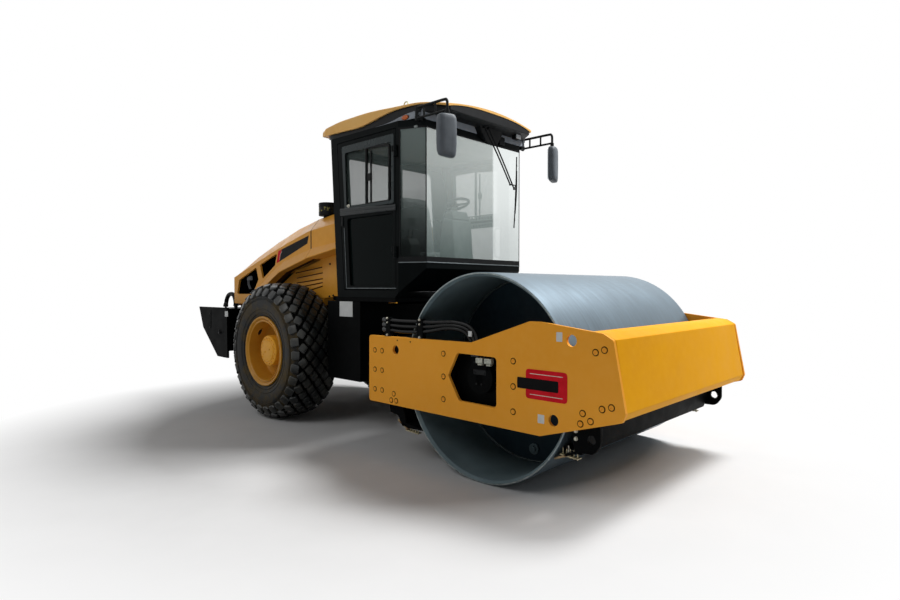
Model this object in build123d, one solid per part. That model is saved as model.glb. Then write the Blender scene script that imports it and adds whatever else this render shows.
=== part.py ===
from build123d import *
import os
from math import hypot

os.makedirs("parts", exist_ok=True)

# A single-drum articulated road roller, in millimetres.
# +X is forward, +Y is the machine's left, +Z is up. The origin is on the ground,
# under the middle of the machine's length and width.
# The drum frame is measured from the drum's axis, the rear machine from the rear axle,
# and the cab from its windshield and its floor.

# Overall
drum_x = 1930             # drum axis
wheelbase = 3050          # drum axis to rear axle
drum_radius = 768
drum_width = 2130
tyre_radius = 737
tyre_width = 537
track_half = 831          # tyre middle from the machine's middle
cab_half = 800
rail_outer = 430          # outer faces of the rear rails

drum_z = drum_radius
axle_x = drum_x - wheelbase
axle_z = tyre_radius
tyre_top = 2 * tyre_radius
pivot_x = drum_x - wheelbase / 2   # articulation pin, midway
sides = (-1, 1)           # right, left
names = {-1: "right", 1: "left"}

# Fits and gaps
run_gap = 0.05            # radial clearance of a running fit
seat_gap = 0.3            # between bodies that lie face to face
cut_past = 10             # how far a cut runs past a face

# Drum
shell_wall = 28
drum_inner = drum_radius - shell_wall
disc_face = 455           # outer face of each closing disc, from the middle
disc_wall = 30
trunnion_radius = 120

# Drum frame
plate_wall = 25
plate_inner = drum_width / 2 + 15
plate_outer = plate_inner + plate_wall
plate_bottom = -320       # from the drum's axis
beam_gap = 102            # drum to front beam
rear_beam_gap = 87        # drum to rear beam
rear_beam_depth = 330
lift_hole_radius = 38
tow_hole_radius = 30
lug_wall = 30
lug_y = 680               # middle of each tow lug
buffer_radius = 62
buffer_length = 70
buffer_spread = 330       # buffer columns each side of the drum axis
buffer_heights = (-193, -20, 154)
support_wall = 28
support_outer = plate_inner - buffer_length
support_inner = support_outer - support_wall
housing_radius = 190
trunnion_reach = support_outer - 80
motor_radius = 118
motor_top = 150           # of the motor's head, above the drum's axis

# Centre link
oscillation_z = drum_z + 22
beam_drop = 290           # rear beam's underside below the oscillation axis
beam_rise = 195           # rear beam's top above it
link_bore = 40            # radius of the articulation pin
ear_spread = 210          # ears above and below the oscillation axis
ear_wall = 40
ear_radius = 110
link_shaft_radius = 75
boss_radius = 150
boss_length = 125
rear_beam_front = drum_x - drum_radius - rear_beam_gap
rear_beam_rear = rear_beam_front - rear_beam_depth
boss_rear = rear_beam_rear - boss_length
steer_eye_offset = 210
steer_barrel_x = axle_x + 700
steer_barrel_y = 260
steer_z = oscillation_z + 90
steer_rod_radius = 28
steer_pin_radius = 20
clevis_half = 31          # from the cylinder's middle to the clevis plates

# Wheels
rim_bead_radius = 325
rim_bead_half = 200
rim_flange_radius = 362
rim_face = 20             # wheel disc, out from the tyre's middle
hub_radius = 149

# Rear frame, from the rear axle
rail_wall = 30
rail_inner = rail_outer - rail_wall
frame_front = 1270
frame_rear = -1480
frame_wall = 30
rail_front_top = 513
rail_rear_top = 443
tank_outer = 790
tank_front = 1310
tank_gap = 43             # tyre to side tank
tank_bottom = -227
engine_half = 300
engine_bottom = 263
engine_top = 863
engine_span = (-960, -30)
engine_feet = (-880, -180)
foot_length = 90
deck_bottom = 553
deck_wall = 40
deck_front = 1820
deck_step = 920
deck_rear = 530
weight_half = 900
weight_wall = 25

# Cab, from the windshield's face and the cab floor
cab_wall = 50
cab_front_x = axle_x + 2110
cab_floor = axle_z + deck_bottom + deck_wall
cab_height = 1575
cab_rear = -1145
cab_rear_lean = 103       # how far the rear wall leans back over its height
cab_corner = -240         # where the side turns in towards the windshield
corner_turn = 117         # how far it turns in
cab_front_half = cab_half - corner_turn
cab_chin = 264            # foot of the windshield's wall
glass_wall = 8
glass_bottom = 364
glass_top = 1504
rear_glass_half = 620
rear_glass_bottom = 570
rear_glass_top = 1430
door_wall = 50
door_gap = 6
door_bottom = 75
door_top = 1515
door_rear_bottom = -1032
door_rear_top = -1140
door_front = -274
window_bottom = 872
window_top = 1455
window_rear_bottom = -1000
window_rear_top = -1045
window_front = -316
low_window_bottom = 110
low_window_top = 765
low_window_rear_bottom = -940
low_window_rear_top = -985
window_corner = 25
hinge_x = cab_front_x - 255
hinge_y = cab_half + 20   # door hinge line, outside the cab's side
hinge_half = 52
hinge_pin = 8
hinge_knuckle = 17
hinge_heights = (410, 1310)
mirror_y = cab_half - 25
mirror_tube = 13
mirror_turn = 17          # degrees that each head's back turns outwards

# Engine cover, from the rear axle
hood_half = 665
hood_wall = 25
flare_reach = 70
flare_lip = 12
panel_half = 545
panel_wall = 25
hood_gap = 8
cover_rear = -1455
hood_pivot = (-1570, 478)
hood_pin = 12
hood_arm_y = 540
hood_arm_radius = 22
cleaner_place = (320, -455)
cleaner_pipe = 50
cleaner_radius = 100
cleaner_low = 745         # underside of the pre-cleaner's bowl over the tyre's top

# Hoses on the right side plate
hose_radius = 16
hose_heights = (385, 345, 305)     # above the drum's axis
hose_y = plate_outer - 17
hose_start = -1025                 # from the drum's axis
clamp_places = (-978, -591)
clamp_half = 34
clamp_depth = 34


def at_drum(points):
    # points in X and Z, measured from the drum's axis
    return [(drum_x + x, drum_z + z) for x, z in points]


def at_axle(points):
    # points in X and Z, measured from the rear axle
    return [(axle_x + x, axle_z + z) for x, z in points]


def at_cover(points):
    # points in X and Z, measured from the rear axle and the tyre's top
    return [(axle_x + x, tyre_top + z) for x, z in points]


def at_cab(points):
    # points in X and Z, measured from the windshield's face and the cab floor
    return [(cab_front_x + x, cab_floor + z) for x, z in points]


def xz_solid(points, y_a, y_b, radius=0):
    # an outline in X and Z, carried along Y
    outline = make_face(Polyline(*points, close=True))
    if radius:
        outline = fillet(outline.vertices(), radius)
    low, high = min(y_a, y_b), max(y_a, y_b)
    return extrude(Plane((0, high, 0), x_dir=(1, 0, 0), z_dir=(0, -1, 0)) * outline, amount=high - low)


def xy_solid(points, z_a, z_b, radius=0):
    # an outline in X and Y, carried up Z
    outline = make_face(Polyline(*points, close=True))
    if radius:
        outline = fillet(outline.vertices(), radius)
    return extrude(Plane((0, 0, z_a)) * outline, amount=z_b - z_a)


def block(x_a, x_b, y_a, y_b, z_a, z_b):
    low = (min(x_a, x_b), min(y_a, y_b), min(z_a, z_b))
    size = (abs(x_b - x_a), abs(y_b - y_a), abs(z_b - z_a))
    return Pos(*low) * Box(*size, align=(Align.MIN, Align.MIN, Align.MIN))


def rod(start, end, radius):
    # a round bar between two points
    line = Vector(*end) - Vector(*start)
    return extrude(Plane(Vector(*start), z_dir=line.normalized()) * Circle(radius), amount=line.length)


def upright(x, y, z_a, z_b, radius):
    return rod((x, y, z_a), (x, y, z_b), radius)


def across(x, z, y_a, y_b, radius):
    return rod((x, y_a, z), (x, y_b, z), radius)


def turned(x, z, section):
    # a section of (radius, y) points, turned about the Y line through x and z
    face = Plane((x, 0, z)) * make_face(Polyline(*section, close=True))
    return revolve(face, axis=Axis((x, 0, z), (0, 1, 0)))


def ruled(sections):
    # flat faces between outlines of (y, z) points, each at its own x
    faces = []
    for x, outline in sections:
        plane = Plane((x, 0, 0), x_dir=(0, 1, 0), z_dir=(1, 0, 0))
        faces.append(plane * make_face(Polyline(*outline, close=True)))
    return loft(faces, ruled=True)


def between(table, x, column):
    # a table's column at x, on the straight line between the rows on each side of it
    for first, second in zip(table, table[1:]):
        if first[0] <= x <= second[0]:
            share = (x - first[0]) / (second[0] - first[0])
            return first[column] + share * (second[column] - first[column])


def write(name, *solids):
    shape = solids[0] if len(solids) == 1 else Compound(children=list(solids))
    export_step(shape, "parts/" + name + ".step")


# Drum frame

fore = drum_radius        # ahead of the drum's axis, to the drum's face
aft = -drum_radius
plate_outline = at_drum([
    (aft - 445, 248), (aft - 449, plate_bottom + 6), (549, plate_bottom - 3), (fore + 366, -146),
    (fore + 387, -93), (fore + 305, 340), (fore + 236, 378), (547, 432), (466, 432), (-54, 256)])
window_outline = at_drum([(-190, 170), (184, 166), (184, -188), (-172, -184), (-282, -5)])
lift_holes = at_drum([(aft - 107, 143), (fore + 18, 322), (654, -204)])


def side_plate(side):
    near, far = side * (plate_inner - cut_past), side * (plate_outer + cut_past)
    plate = xz_solid(plate_outline, side * plate_inner, side * plate_outer, radius=22)
    plate -= xz_solid(window_outline, near, far, radius=28)
    for x, z in lift_holes:
        plate -= across(x, z, near, far, lift_hole_radius)
    return plate


def front_beam():
    beam_rear = fore + beam_gap
    outline = [(beam_rear, 352), (beam_rear + 50, 388), (fore + 236, 378), (fore + 305, 341),
               (fore + 381, -93), (fore + 357, -140), (beam_rear + 30, -140)]
    return xz_solid(at_drum(outline), -plate_inner, plate_inner)


def rear_beam():
    low, high = oscillation_z - beam_drop, oscillation_z + beam_rise
    chamfer_x = rear_beam_front - 75
    outline = [(rear_beam_rear, low), (rear_beam_rear, high), (chamfer_x, high), (rear_beam_front, high - 85),
               (rear_beam_front, low + 60), (chamfer_x, low)]
    beam = xz_solid(outline, -plate_inner, plate_inner)
    beam += rod((boss_rear, 0, oscillation_z), (rear_beam_rear, 0, oscillation_z), boss_radius)
    return beam - rod((boss_rear - cut_past, 0, oscillation_z), (rear_beam_rear + 175, 0, oscillation_z),
                      link_shaft_radius + run_gap)


def drum_shell():
    half = drum_width / 2
    section = [(drum_radius, -half), (drum_radius, half), (drum_inner, half), (drum_inner, -half)]
    return turned(drum_x, drum_z, section)


def drum_head(side):
    # a disc inside the shell with the trunnion that carries the drum
    back = disc_face - disc_wall
    rim_radius = drum_inner - run_gap
    section = [(0, back), (rim_radius, back), (rim_radius, disc_face), (trunnion_radius, disc_face),
               (trunnion_radius, trunnion_reach), (0, trunnion_reach)]
    return turned(drum_x, drum_z, [(radius, side * y) for radius, y in section])


def drum_support(side):
    half = buffer_spread + 75
    low, high = buffer_heights[0] - 85, buffer_heights[-1] + 85
    corners = at_drum([(-half, low), (half, low), (half, high), (-half, high)])
    housing_start = disc_face + 185
    plate = xz_solid(corners, side * support_inner, side * support_outer, radius=60)
    housing = across(drum_x, drum_z, side * housing_start, side * support_inner, housing_radius)
    bore = across(drum_x, drum_z, side * (housing_start - cut_past), side * (trunnion_reach + cut_past),
                  trunnion_radius + run_gap)
    return plate + housing - bore


def buffers(side):
    found = []
    for x in (-buffer_spread, buffer_spread):
        for z in buffer_heights:
            found.append(across(drum_x + x, drum_z + z, side * support_outer, side * plate_inner,
                                buffer_radius))
    return found


def drum_motor(side):
    body = across(drum_x, drum_z, side * support_outer, side * (plate_inner - 12), motor_radius)
    head = block(drum_x - 70, drum_x + 70, side * support_outer, side * (plate_inner - 4),
                 drum_z + 60, drum_z + motor_top)
    return body + head


def front_scraper():
    beam = xz_solid(at_drum([(fore + 92, -141), (fore + 292, -141), (fore + 262, -208), (fore + 182, -298),
                             (fore + 72, -316), (fore + 57, -248)]), -plate_inner, plate_inner)
    blade_half = plate_inner - 40
    beam += xz_solid(at_drum([(fore + 57, -248), (fore + 72, -316), (-8 + fore, -336), (fore - 11, -318)]),
                     -blade_half, blade_half)
    lug = at_drum([(fore + 152, -168), (fore + 342, -168), (fore + 364, -208), (fore + 352, -263),
                   (fore + 312, -288), (fore + 152, -298)])
    hole_x, hole_z = drum_x + fore + 287, drum_z - 227
    for side in sides:
        beam += xz_solid(lug, side * (lug_y - lug_wall / 2), side * (lug_y + lug_wall / 2))
    for side in sides:
        beam -= across(hole_x, hole_z, side * (lug_y - lug_wall), side * (lug_y + lug_wall), tow_hole_radius)
    return beam


def rear_scraper():
    # hangs from the rear beam, its blade's edge at the drum low on its rear
    top = oscillation_z - beam_drop
    half = plate_inner - 40
    near = drum_x + aft
    hanger = [(near - 282, top), (near - 177, top), (near - 78, 320), (near - 78, 262), (near - 150, 262),
              (near - 240, 372)]
    blade = [(near - 78, 320), (near - 78, 262), (near + 28, 236), (near + 33, 250)]
    return xz_solid(hanger, -half, half) + xz_solid(blade, -half, half)


# Centre link and steering

def link_solid():
    ear_bottom, ear_top = oscillation_z - ear_spread, oscillation_z + ear_spread
    hub = upright(pivot_x, 0, ear_bottom + ear_wall + 1, ear_top - ear_wall - 1, 95)
    link_front = boss_rear - 20
    body = block(pivot_x, link_front, -110, 110, oscillation_z - 130, oscillation_z + 130)
    shaft = rod((link_front - 10, 0, oscillation_z), (rear_beam_rear + 155, 0, oscillation_z),
                link_shaft_radius)
    link = hub + body + shaft
    for side in sides:
        for low in (steer_z - clevis_half - 25, steer_z + clevis_half + 1):
            link += block(pivot_x - 50, pivot_x + 50, side * 80, side * (steer_eye_offset + 55),
                          low, low + 24)
    return link - upright(pivot_x, 0, ear_bottom - 80, ear_top + 100, link_bore + run_gap)


def steer_line(side):
    # the cylinder's tail, its eye at the centre link and the way between them
    tail = Vector(steer_barrel_x, side * steer_barrel_y, steer_z)
    eye = Vector(pivot_x, side * steer_eye_offset, steer_z)
    return tail, eye, (eye - tail).normalized()


def steer_barrel(side):
    tail, eye, way = steer_line(side)
    barrel = rod(tail + way * 90, tail + way * 500, 50) + rod(tail, tail + way * 95, 28)
    barrel += upright(tail.X, tail.Y, tail.Z - 30, tail.Z + 30, 55)
    barrel -= rod(tail + way * 150, tail + way * 501, steer_rod_radius + run_gap)
    return barrel - upright(tail.X, tail.Y, tail.Z - 40, tail.Z + 40, steer_pin_radius + run_gap)


def steer_rod(side):
    tail, eye, way = steer_line(side)
    eye_solid = upright(eye.X, eye.Y, eye.Z - clevis_half, eye.Z + clevis_half, 45)
    return rod(tail + way * 330, eye, steer_rod_radius) + eye_solid


# Rear frame

def rail_top(x):
    # the rails' upper edge above the axle, which falls towards the rear
    share = (frame_front - x) / (frame_front - frame_rear)
    return rail_front_top + share * (rail_rear_top - rail_front_top)


def rails():
    outline = [(frame_rear, -117), (-380, -117), (-210, 133), (210, 133), (380, -177), (frame_front, -177),
               (frame_front, rail_front_top), (frame_rear, rail_rear_top)]
    return [xz_solid(at_axle(outline), side * rail_inner, side * rail_outer) for side in sides]


def crossmembers():
    # the plates between the rails: front with its ears and pins, middle and rear
    front_x = axle_x + frame_front
    front = block(front_x - frame_wall, front_x, -rail_inner, rail_inner, oscillation_z - ear_spread - 20,
                  axle_z + rail_front_top)
    for low in (oscillation_z - ear_spread, oscillation_z + ear_spread - ear_wall):
        front += block(front_x - frame_wall, pivot_x, -150, 150, low, low + ear_wall)
        front += upright(pivot_x, 0, low, low + ear_wall, ear_radius)
    for side in sides:
        front -= block(front_x - frame_wall - cut_past, front_x + cut_past, side * 120, side * 340,
                       steer_z - 75, steer_z + 75)
    front += upright(pivot_x, 0, oscillation_z - ear_spread - 10, oscillation_z + ear_spread + 30, link_bore)
    middle = block(axle_x + 380, axle_x + 410, -rail_inner, rail_inner, axle_z - 177, axle_z + 363)
    rear = block(axle_x + frame_rear, axle_x + frame_rear + frame_wall, -rail_inner, rail_inner,
                 axle_z - 117, axle_z + rail_rear_top)
    return [front, middle, rear]


def rail_brackets():
    # the steering cylinders' tail pins and the engine's feet, on the rails' inner faces
    found = []
    outer_z = clevis_half + 29
    for side in sides:
        tail_y = side * steer_barrel_y
        bracket = upright(steer_barrel_x, tail_y, steer_z - outer_z, steer_z + outer_z, steer_pin_radius)
        for low, high in ((-outer_z, -clevis_half), (clevis_half, outer_z)):
            bracket += block(steer_barrel_x - 50, steer_barrel_x + 50, side * (steer_barrel_y - 70),
                             side * rail_inner, steer_z + low, steer_z + high)
        found.append(bracket)
        for x in engine_feet:
            found.append(block(axle_x + x, axle_x + x + foot_length, side * (engine_half - 80),
                               side * rail_inner, axle_z + engine_bottom - 35, axle_z + engine_bottom))
    return found


def rear_axle():
    reach = track_half - 150 - seat_gap
    axle = across(axle_x, axle_z, -reach, reach, 115)
    axle += across(axle_x, axle_z, -170, 170, 235)
    axle += rod((axle_x, 0, axle_z), (axle_x + 370, 0, axle_z), 90)
    for side in sides:
        axle += block(axle_x - 130, axle_x + 130, side * (rail_outer - 60), side * (rail_outer + 20),
                      axle_z, axle_z + 133)
    return axle


def engine_block():
    return block(axle_x + engine_span[0], axle_x + engine_span[1], -engine_half, engine_half,
                 axle_z + engine_bottom, axle_z + engine_top)


def side_tank(side):
    return block(axle_x + tyre_radius + tank_gap, axle_x + tank_front, side * rail_outer, side * tank_outer,
                 axle_z + tank_bottom, axle_z + deck_bottom)


def counterweight():
    cheek = at_axle([(-1965, 433), (-1855, 169), (-1450, -185), (-1184, -189), (-1193, 435)])
    core = at_axle([(-1940, 413), (-1835, 175), (frame_rear, -137), (frame_rear, 413)])
    weight = xz_solid(core, weight_wall - weight_half, weight_half - weight_wall)
    pin_x, pin_z = axle_x + hood_pivot[0], axle_z + hood_pivot[1]
    for side in sides:
        weight += xz_solid(cheek, side * (weight_half - weight_wall), side * weight_half)
        for y in (hood_arm_y - 56, hood_arm_y + 38):
            weight += block(pin_x - 32, pin_x + 32, side * y, side * (y + 18), axle_z + 408, pin_z + 28)
        weight += across(pin_x, pin_z, side * (hood_arm_y - 60), side * (hood_arm_y + 60), hood_pin)
    return weight


def deck():
    low, high = axle_z + deck_bottom, cab_floor
    plate = block(axle_x + deck_step, axle_x + deck_front, -tank_outer, tank_outer, low, high)
    plate += block(axle_x + deck_rear, axle_x + deck_step, -panel_half, panel_half, low, high)
    pad = [(deck_rear, rail_top(deck_rear)), (frame_front, rail_top(frame_front)), (frame_front, deck_bottom),
           (deck_rear, deck_bottom)]
    for side in sides:
        plate += xz_solid(at_axle(pad), side * rail_inner, side * rail_outer)
    return plate


# Cab

def rear_wall_x(height):
    # the cab's rear face at a height over its floor, from the windshield
    return cab_rear - cab_rear_lean * height / cab_height


def cab_volume(inset):
    # the cab's closed shape, drawn in by inset on every face
    low, high = inset, cab_height - inset
    side_view = at_cab([(rear_wall_x(low) + inset, low), (rear_wall_x(high) + inset, high), (-inset, high),
                        (-inset, cab_chin + inset / 2), (-290 - inset / 2, low)])
    half, front_half = cab_half - inset, cab_front_half - inset / 2
    corner_x = cab_front_x + cab_corner - inset / 3
    tail_x = cab_front_x - 1400
    plan = [(tail_x, -half), (corner_x, -half), (cab_front_x - inset, -front_half),
            (cab_front_x - inset, front_half), (corner_x, half), (tail_x, half)]
    return xz_solid(side_view, -half, half) & xy_solid(plan, cab_floor + low, cab_floor + high)


def door_outline(margin):
    low, high, front = door_bottom - margin, door_top + margin, door_front + margin
    rear_low, rear_high = door_rear_bottom - margin, door_rear_top - margin
    return at_cab([(rear_low, low), (front, low), (front, high), (rear_high, high)])


def hinge_leaf(side, low, high, x_from, bore):
    # half of a door hinge, its knuckle round the pin and its leaf reaching x_from
    way = 1 if x_from > hinge_x else -1
    leaf = upright(hinge_x, side * hinge_y, low, high, hinge_knuckle)
    leaf += block(hinge_x, x_from, side * (cab_half + 4), side * (hinge_y + 2), low, high)
    leaf += block(x_from - way * 22, x_from, side * (cab_half - 1), side * (cab_half + 5), low, high)
    return leaf - upright(hinge_x, side * hinge_y, low - 1, high + 1, bore)


def corner_slabs(out_by, in_by, low, high):
    # slabs along the cab's two slanted corners, from out_by outside to in_by inside
    length = hypot(cab_corner, corner_turn)
    found = []
    for side in sides:
        along = Vector(-cab_corner / length, -side * corner_turn / length, 0)
        out = Vector(corner_turn / length, -side * cab_corner / length, 0)
        start = Vector(cab_front_x + cab_corner, side * cab_half, 0) + along * 22
        end = Vector(cab_front_x, side * cab_front_half, 0) - along
        corners = [start - out * out_by, end - out * out_by, end - out * in_by, start - out * in_by]
        found.append(xy_solid([(c.X, c.Y) for c in corners], cab_floor + low, cab_floor + high))
    return found


def cab_frame():
    cab = cab_volume(0) - cab_volume(cab_wall)
    for side in sides:
        cab -= xz_solid(door_outline(door_gap), side * (cab_half - cab_wall - 20),
                        side * (cab_half + cut_past))
    cab -= block(cab_front_x - 80, cab_front_x + cut_past, 4 - cab_front_half, cab_front_half - 4,
                 cab_floor + glass_bottom, cab_floor + glass_top)
    for slab in corner_slabs(-20, 90, glass_bottom, glass_top):
        cab -= slab
    cab -= block(cab_front_x - 1400, cab_front_x - 990, -rear_glass_half, rear_glass_half,
                 cab_floor + rear_glass_bottom, cab_floor + rear_glass_top)
    for side in sides:
        for height in hinge_heights:
            z = cab_floor + height
            cab += hinge_leaf(side, z - hinge_half, z - 1, hinge_x + 15, hinge_pin - 1)
            cab += upright(hinge_x, side * hinge_y, z - hinge_half, z + hinge_half, hinge_pin)
    return cab


def cab_glass():
    windshield = block(cab_front_x - 4 - glass_wall, cab_front_x - 4, 14 - cab_front_half,
                       cab_front_half - 14, cab_floor + glass_bottom, cab_floor + glass_top)
    panes = [windshield]
    for slab in corner_slabs(4, 4 + glass_wall, glass_bottom, glass_top):
        panes.append(slab - block(cab_front_x - 14, cab_front_x + 20, -cab_half, cab_half,
                                  cab_floor, cab_floor + cab_height))
    low_x, high_x = rear_wall_x(rear_glass_bottom) + 20, rear_wall_x(rear_glass_top) + 20
    rear_outline = [(low_x, rear_glass_bottom), (high_x, rear_glass_top),
                    (high_x + glass_wall, rear_glass_top), (low_x + glass_wall, rear_glass_bottom)]
    panes.append(xz_solid(at_cab(rear_outline), -rear_glass_half, rear_glass_half))
    return panes


# x from the windshield, half width beyond the cab's side, and heights over the cab's top
# of the underside, the edge and the crown
roof_sections = [
    (-1400, -100, 70, 85, 103), (-1375, -10, 39, 117, 143), (-1090, 28, 39, 157, 193),
    (-660, 22, 39, 161, 199), (-370, 0, 69, 145, 187), (-90, -30, 83, 129, 173), (200, -85, 85, 99, 139)]
# x from the windshield, half width beyond the cab's side, underside over the cab's top
visor_sections = [
    (-1320, -30, 20), (-1240, 6, 0), (-660, 0, 0), (-370, -18, 0), (-90, -48, 0), (10, -62, 0),
    (195, -100, 55)]


def roof_shell():
    cab_top = cab_floor + cab_height
    faces = []
    for x, beyond, underside, edge, crown in roof_sections:
        half, low, high = cab_half + beyond, cab_top + underside, cab_top + edge
        outline = [Line((-half, low), (half, low)), Line((half, low), (half, high)),
                   ThreePointArc((half, high), (0, cab_top + crown), (-half, high)),
                   Line((-half, high), (-half, low))]
        faces.append(Plane((cab_front_x + x, 0, 0), x_dir=(0, 1, 0), z_dir=(1, 0, 0)) * make_face(outline))
    return loft(faces, ruled=True)


def roof_visor():
    cab_top = cab_floor + cab_height
    sections = []
    for x, beyond, underside in visor_sections:
        half, low = cab_half + beyond, cab_top + underside
        high = cab_top + between(roof_sections, x, 2) - 0.02
        sections.append((cab_front_x + x, [(-half, low), (half, low), (half, high), (-half, high)]))
    return ruled(sections)


door_windows = [
    at_cab([(window_rear_bottom, window_bottom), (window_front, window_bottom), (window_front, window_top),
            (window_rear_top, window_top)]),
    at_cab([(low_window_rear_bottom, low_window_bottom), (window_front, low_window_bottom),
            (window_front, low_window_top), (low_window_rear_top, low_window_top)])]


def door_frame(side):
    door = xz_solid(door_outline(0), side * (cab_half - door_wall), side * cab_half)
    for outline in door_windows:
        door -= xz_solid(outline, side * (cab_half - door_wall - 5), side * (cab_half + 5), radius=window_corner)
    for height in hinge_heights:
        z = cab_floor + height
        door += hinge_leaf(side, z, z + hinge_half, hinge_x - 50, hinge_pin + run_gap)
    return door


def door_glass(side):
    face = cab_half - 30
    return [xz_solid(outline, side * face, side * (face + glass_wall), radius=window_corner)
            for outline in door_windows]


# Cab interior, from the windshield and the cab floor

seat_height = 310
seat_rear = -880
cushion_wall = 120


def seat_base():
    return block(cab_front_x - 840, cab_front_x - 470, -220, 220, cab_floor + cab_wall,
                 cab_floor + seat_height)


def seat_cushion():
    return block(cab_front_x + seat_rear, cab_front_x - 390, -250, 250, cab_floor + seat_height,
                 cab_floor + seat_height + cushion_wall)


def seat_back():
    low, high = seat_height + cushion_wall + seat_gap, 1050
    return xz_solid(at_cab([(seat_rear, low), (seat_rear + 120, low), (seat_rear + 20, high),
                            (seat_rear - 90, high)]), -240, 240)


wheel_radius = 175
column_foot = (-250, 700)     # from the windshield and over the cab floor
column_top = (-310, 905)


def steering_column():
    # a wide pedestal on the floor carries the column and its wheel
    foot = Vector(cab_front_x + column_foot[0], 0, cab_floor + column_foot[1])
    top = Vector(cab_front_x + column_top[0], 0, cab_floor + column_top[1])
    way = (top - foot).normalized()
    wheel_plane = Plane(top, z_dir=way)
    column = rod(foot, top, 35)
    column += extrude(wheel_plane * (Circle(wheel_radius) - Circle(wheel_radius - 24)), amount=24)
    column += extrude(wheel_plane * Rectangle(2 * wheel_radius - 30, 34), amount=16)
    column += extrude(wheel_plane * Circle(48), amount=24)
    casing = at_cab([(-330, 790), (-190, 760), (-150, 330), (-190, 240), (-330, 0), (-420, 0)])
    return column + (xz_solid(casing, -150, 150, radius=14) & cab_volume(cab_wall))


def console():
    # an armrest box with its levers, beside the seat on its own post
    armrest = block(cab_front_x - 740, cab_front_x - 350, -560, -420, cab_floor + 370, cab_floor + 570)
    post = block(cab_front_x - 690, cab_front_x - 390, -540, -440, cab_floor + cab_wall, cab_floor + 370)
    return armrest + post


def mirror(side):
    # a bent tube with two rungs, on a foot at the roof's edge, carries the head ahead of the cab
    cab_top = cab_floor + cab_height
    foot_x, head_x = cab_front_x - 25, cab_front_x + 340
    low_z, high_z = cab_top - 15, cab_top + 77
    foot = block(foot_x - 20, foot_x + 20, side * (mirror_y - 50), side * (mirror_y + 14),
                 low_z - 20, high_z + 14)
    arm = foot - (roof_visor() + roof_shell())
    arm += rod((foot_x, side * mirror_y, high_z), (head_x, side * mirror_y, high_z), mirror_tube)
    arm += rod((foot_x, side * mirror_y, low_z), (head_x, side * mirror_y, low_z), mirror_tube)
    arm += upright(head_x, side * mirror_y, cab_top - 110, high_z + mirror_tube, mirror_tube)
    for x in (foot_x + 90, foot_x + 225):
        arm += upright(x, side * mirror_y, low_z, high_z, mirror_tube - 4)
    face = [(-30, -88), (20, -88), (42, -40), (42, 40), (20, 88), (-30, 88)]
    head = extrude(Plane((0, 0, -400)) * make_face(Polyline(*face, close=True)), amount=345)
    return arm + Pos(head_x, side * (mirror_y + 10), cab_top) * Rot(0, 0, side * mirror_turn) * head


# Engine cover, in two pieces: the hood that tilts and the cowl behind the cab

# x from the axle, height of the side's crease over the tyre's top, half width and height of the top
cover_sections = [
    (cover_rear, 78, 605, 113), (-1080, 193, 530, 327), (-630, 329, 512, 491), (-180, 456, 505, 626),
    (240, 563, 500, 716), (870, 633, 500, 788)]
# x from the axle, upper and lower height over the tyre's top of the flare along the wheel arch
flare_sections = [
    (-1000, -157, -357), (-730, 14, -147), (-480, 152, 18), (-250, 251, 135), (320, 378, 278),
    (870, 435, 363)]
split_side = 295          # where hood and cowl meet at the sides and on the top, from the axle
split_top = 204
hood_bottom = 483         # from the axle
hood_windows = [
    [(-1330, 44), (-890, 196), (-838, 45), (-982, -131), (-1378, -135)],
    [(-800, 226), (-403, 350), (-450, 212), (-738, 52)]]


def cover_volume(inset):
    # the whole cover's closed shape over the frame, drawn in by inset
    sections = []
    for x, crease, top_half, top in cover_sections:
        half, shoulder = hood_half - inset, top_half - inset / 2
        low, side_z, top_z = axle_z + hood_bottom, tyre_top + crease - inset / 2, tyre_top + top - inset
        outline = [(-half, low), (half, low), (half, side_z), (shoulder, top_z), (-shoulder, top_z),
                   (-half, side_z)]
        sections.append((axle_x + x + (inset if x == cover_rear else 0), outline))
    return ruled(sections)


def flare(side):
    # the outward lip of the wheel arch
    inner, outer = hood_half - hood_wall, hood_half + flare_reach
    sections = []
    for x, upper, lower in flare_sections:
        up, low = tyre_top + upper, tyre_top + lower
        outline = [(inner, low - flare_lip), (outer, low - flare_lip), (outer, low), (hood_half, up),
                   (inner, up)]
        sections.append((axle_x + x, [(side * y, z) for y, z in outline]))
    return ruled(sections)


def arch_space():
    # what the wheel arch leaves open, under the flare
    line = [(x, lower - flare_lip) for x, upper, lower in flare_sections]
    half = hood_half + flare_reach + cut_past
    below = [(1000, line[-1][1]), (1000, -tyre_radius), (line[0][0] - 5, -tyre_radius)]
    return xz_solid(at_cover(line + below), -half, half)


def split_prism(margin):
    # plan of the hood's share of the cover, moved ahead by margin
    side_x, top_x = axle_x + split_side + margin, axle_x + split_top + margin
    half, top_half = hood_half + flare_reach + 20, 500
    tail_x = axle_x + cover_rear - 20
    plan = [(tail_x, -half), (side_x, -half), (side_x, -hood_half), (top_x, -top_half), (top_x, top_half),
            (side_x, hood_half), (side_x, half), (tail_x, half)]
    return xy_solid(plan, 0, tyre_top + 900)


def cover_shell():
    shell = cover_volume(0) - cover_volume(hood_wall)
    for side in sides:
        shell += flare(side)
    half = hood_half + flare_reach + 20
    bottom = block(axle_x - 2000, axle_x + 1000, -half, half, axle_z, axle_z + hood_bottom)
    return shell - bottom - arch_space()


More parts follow.
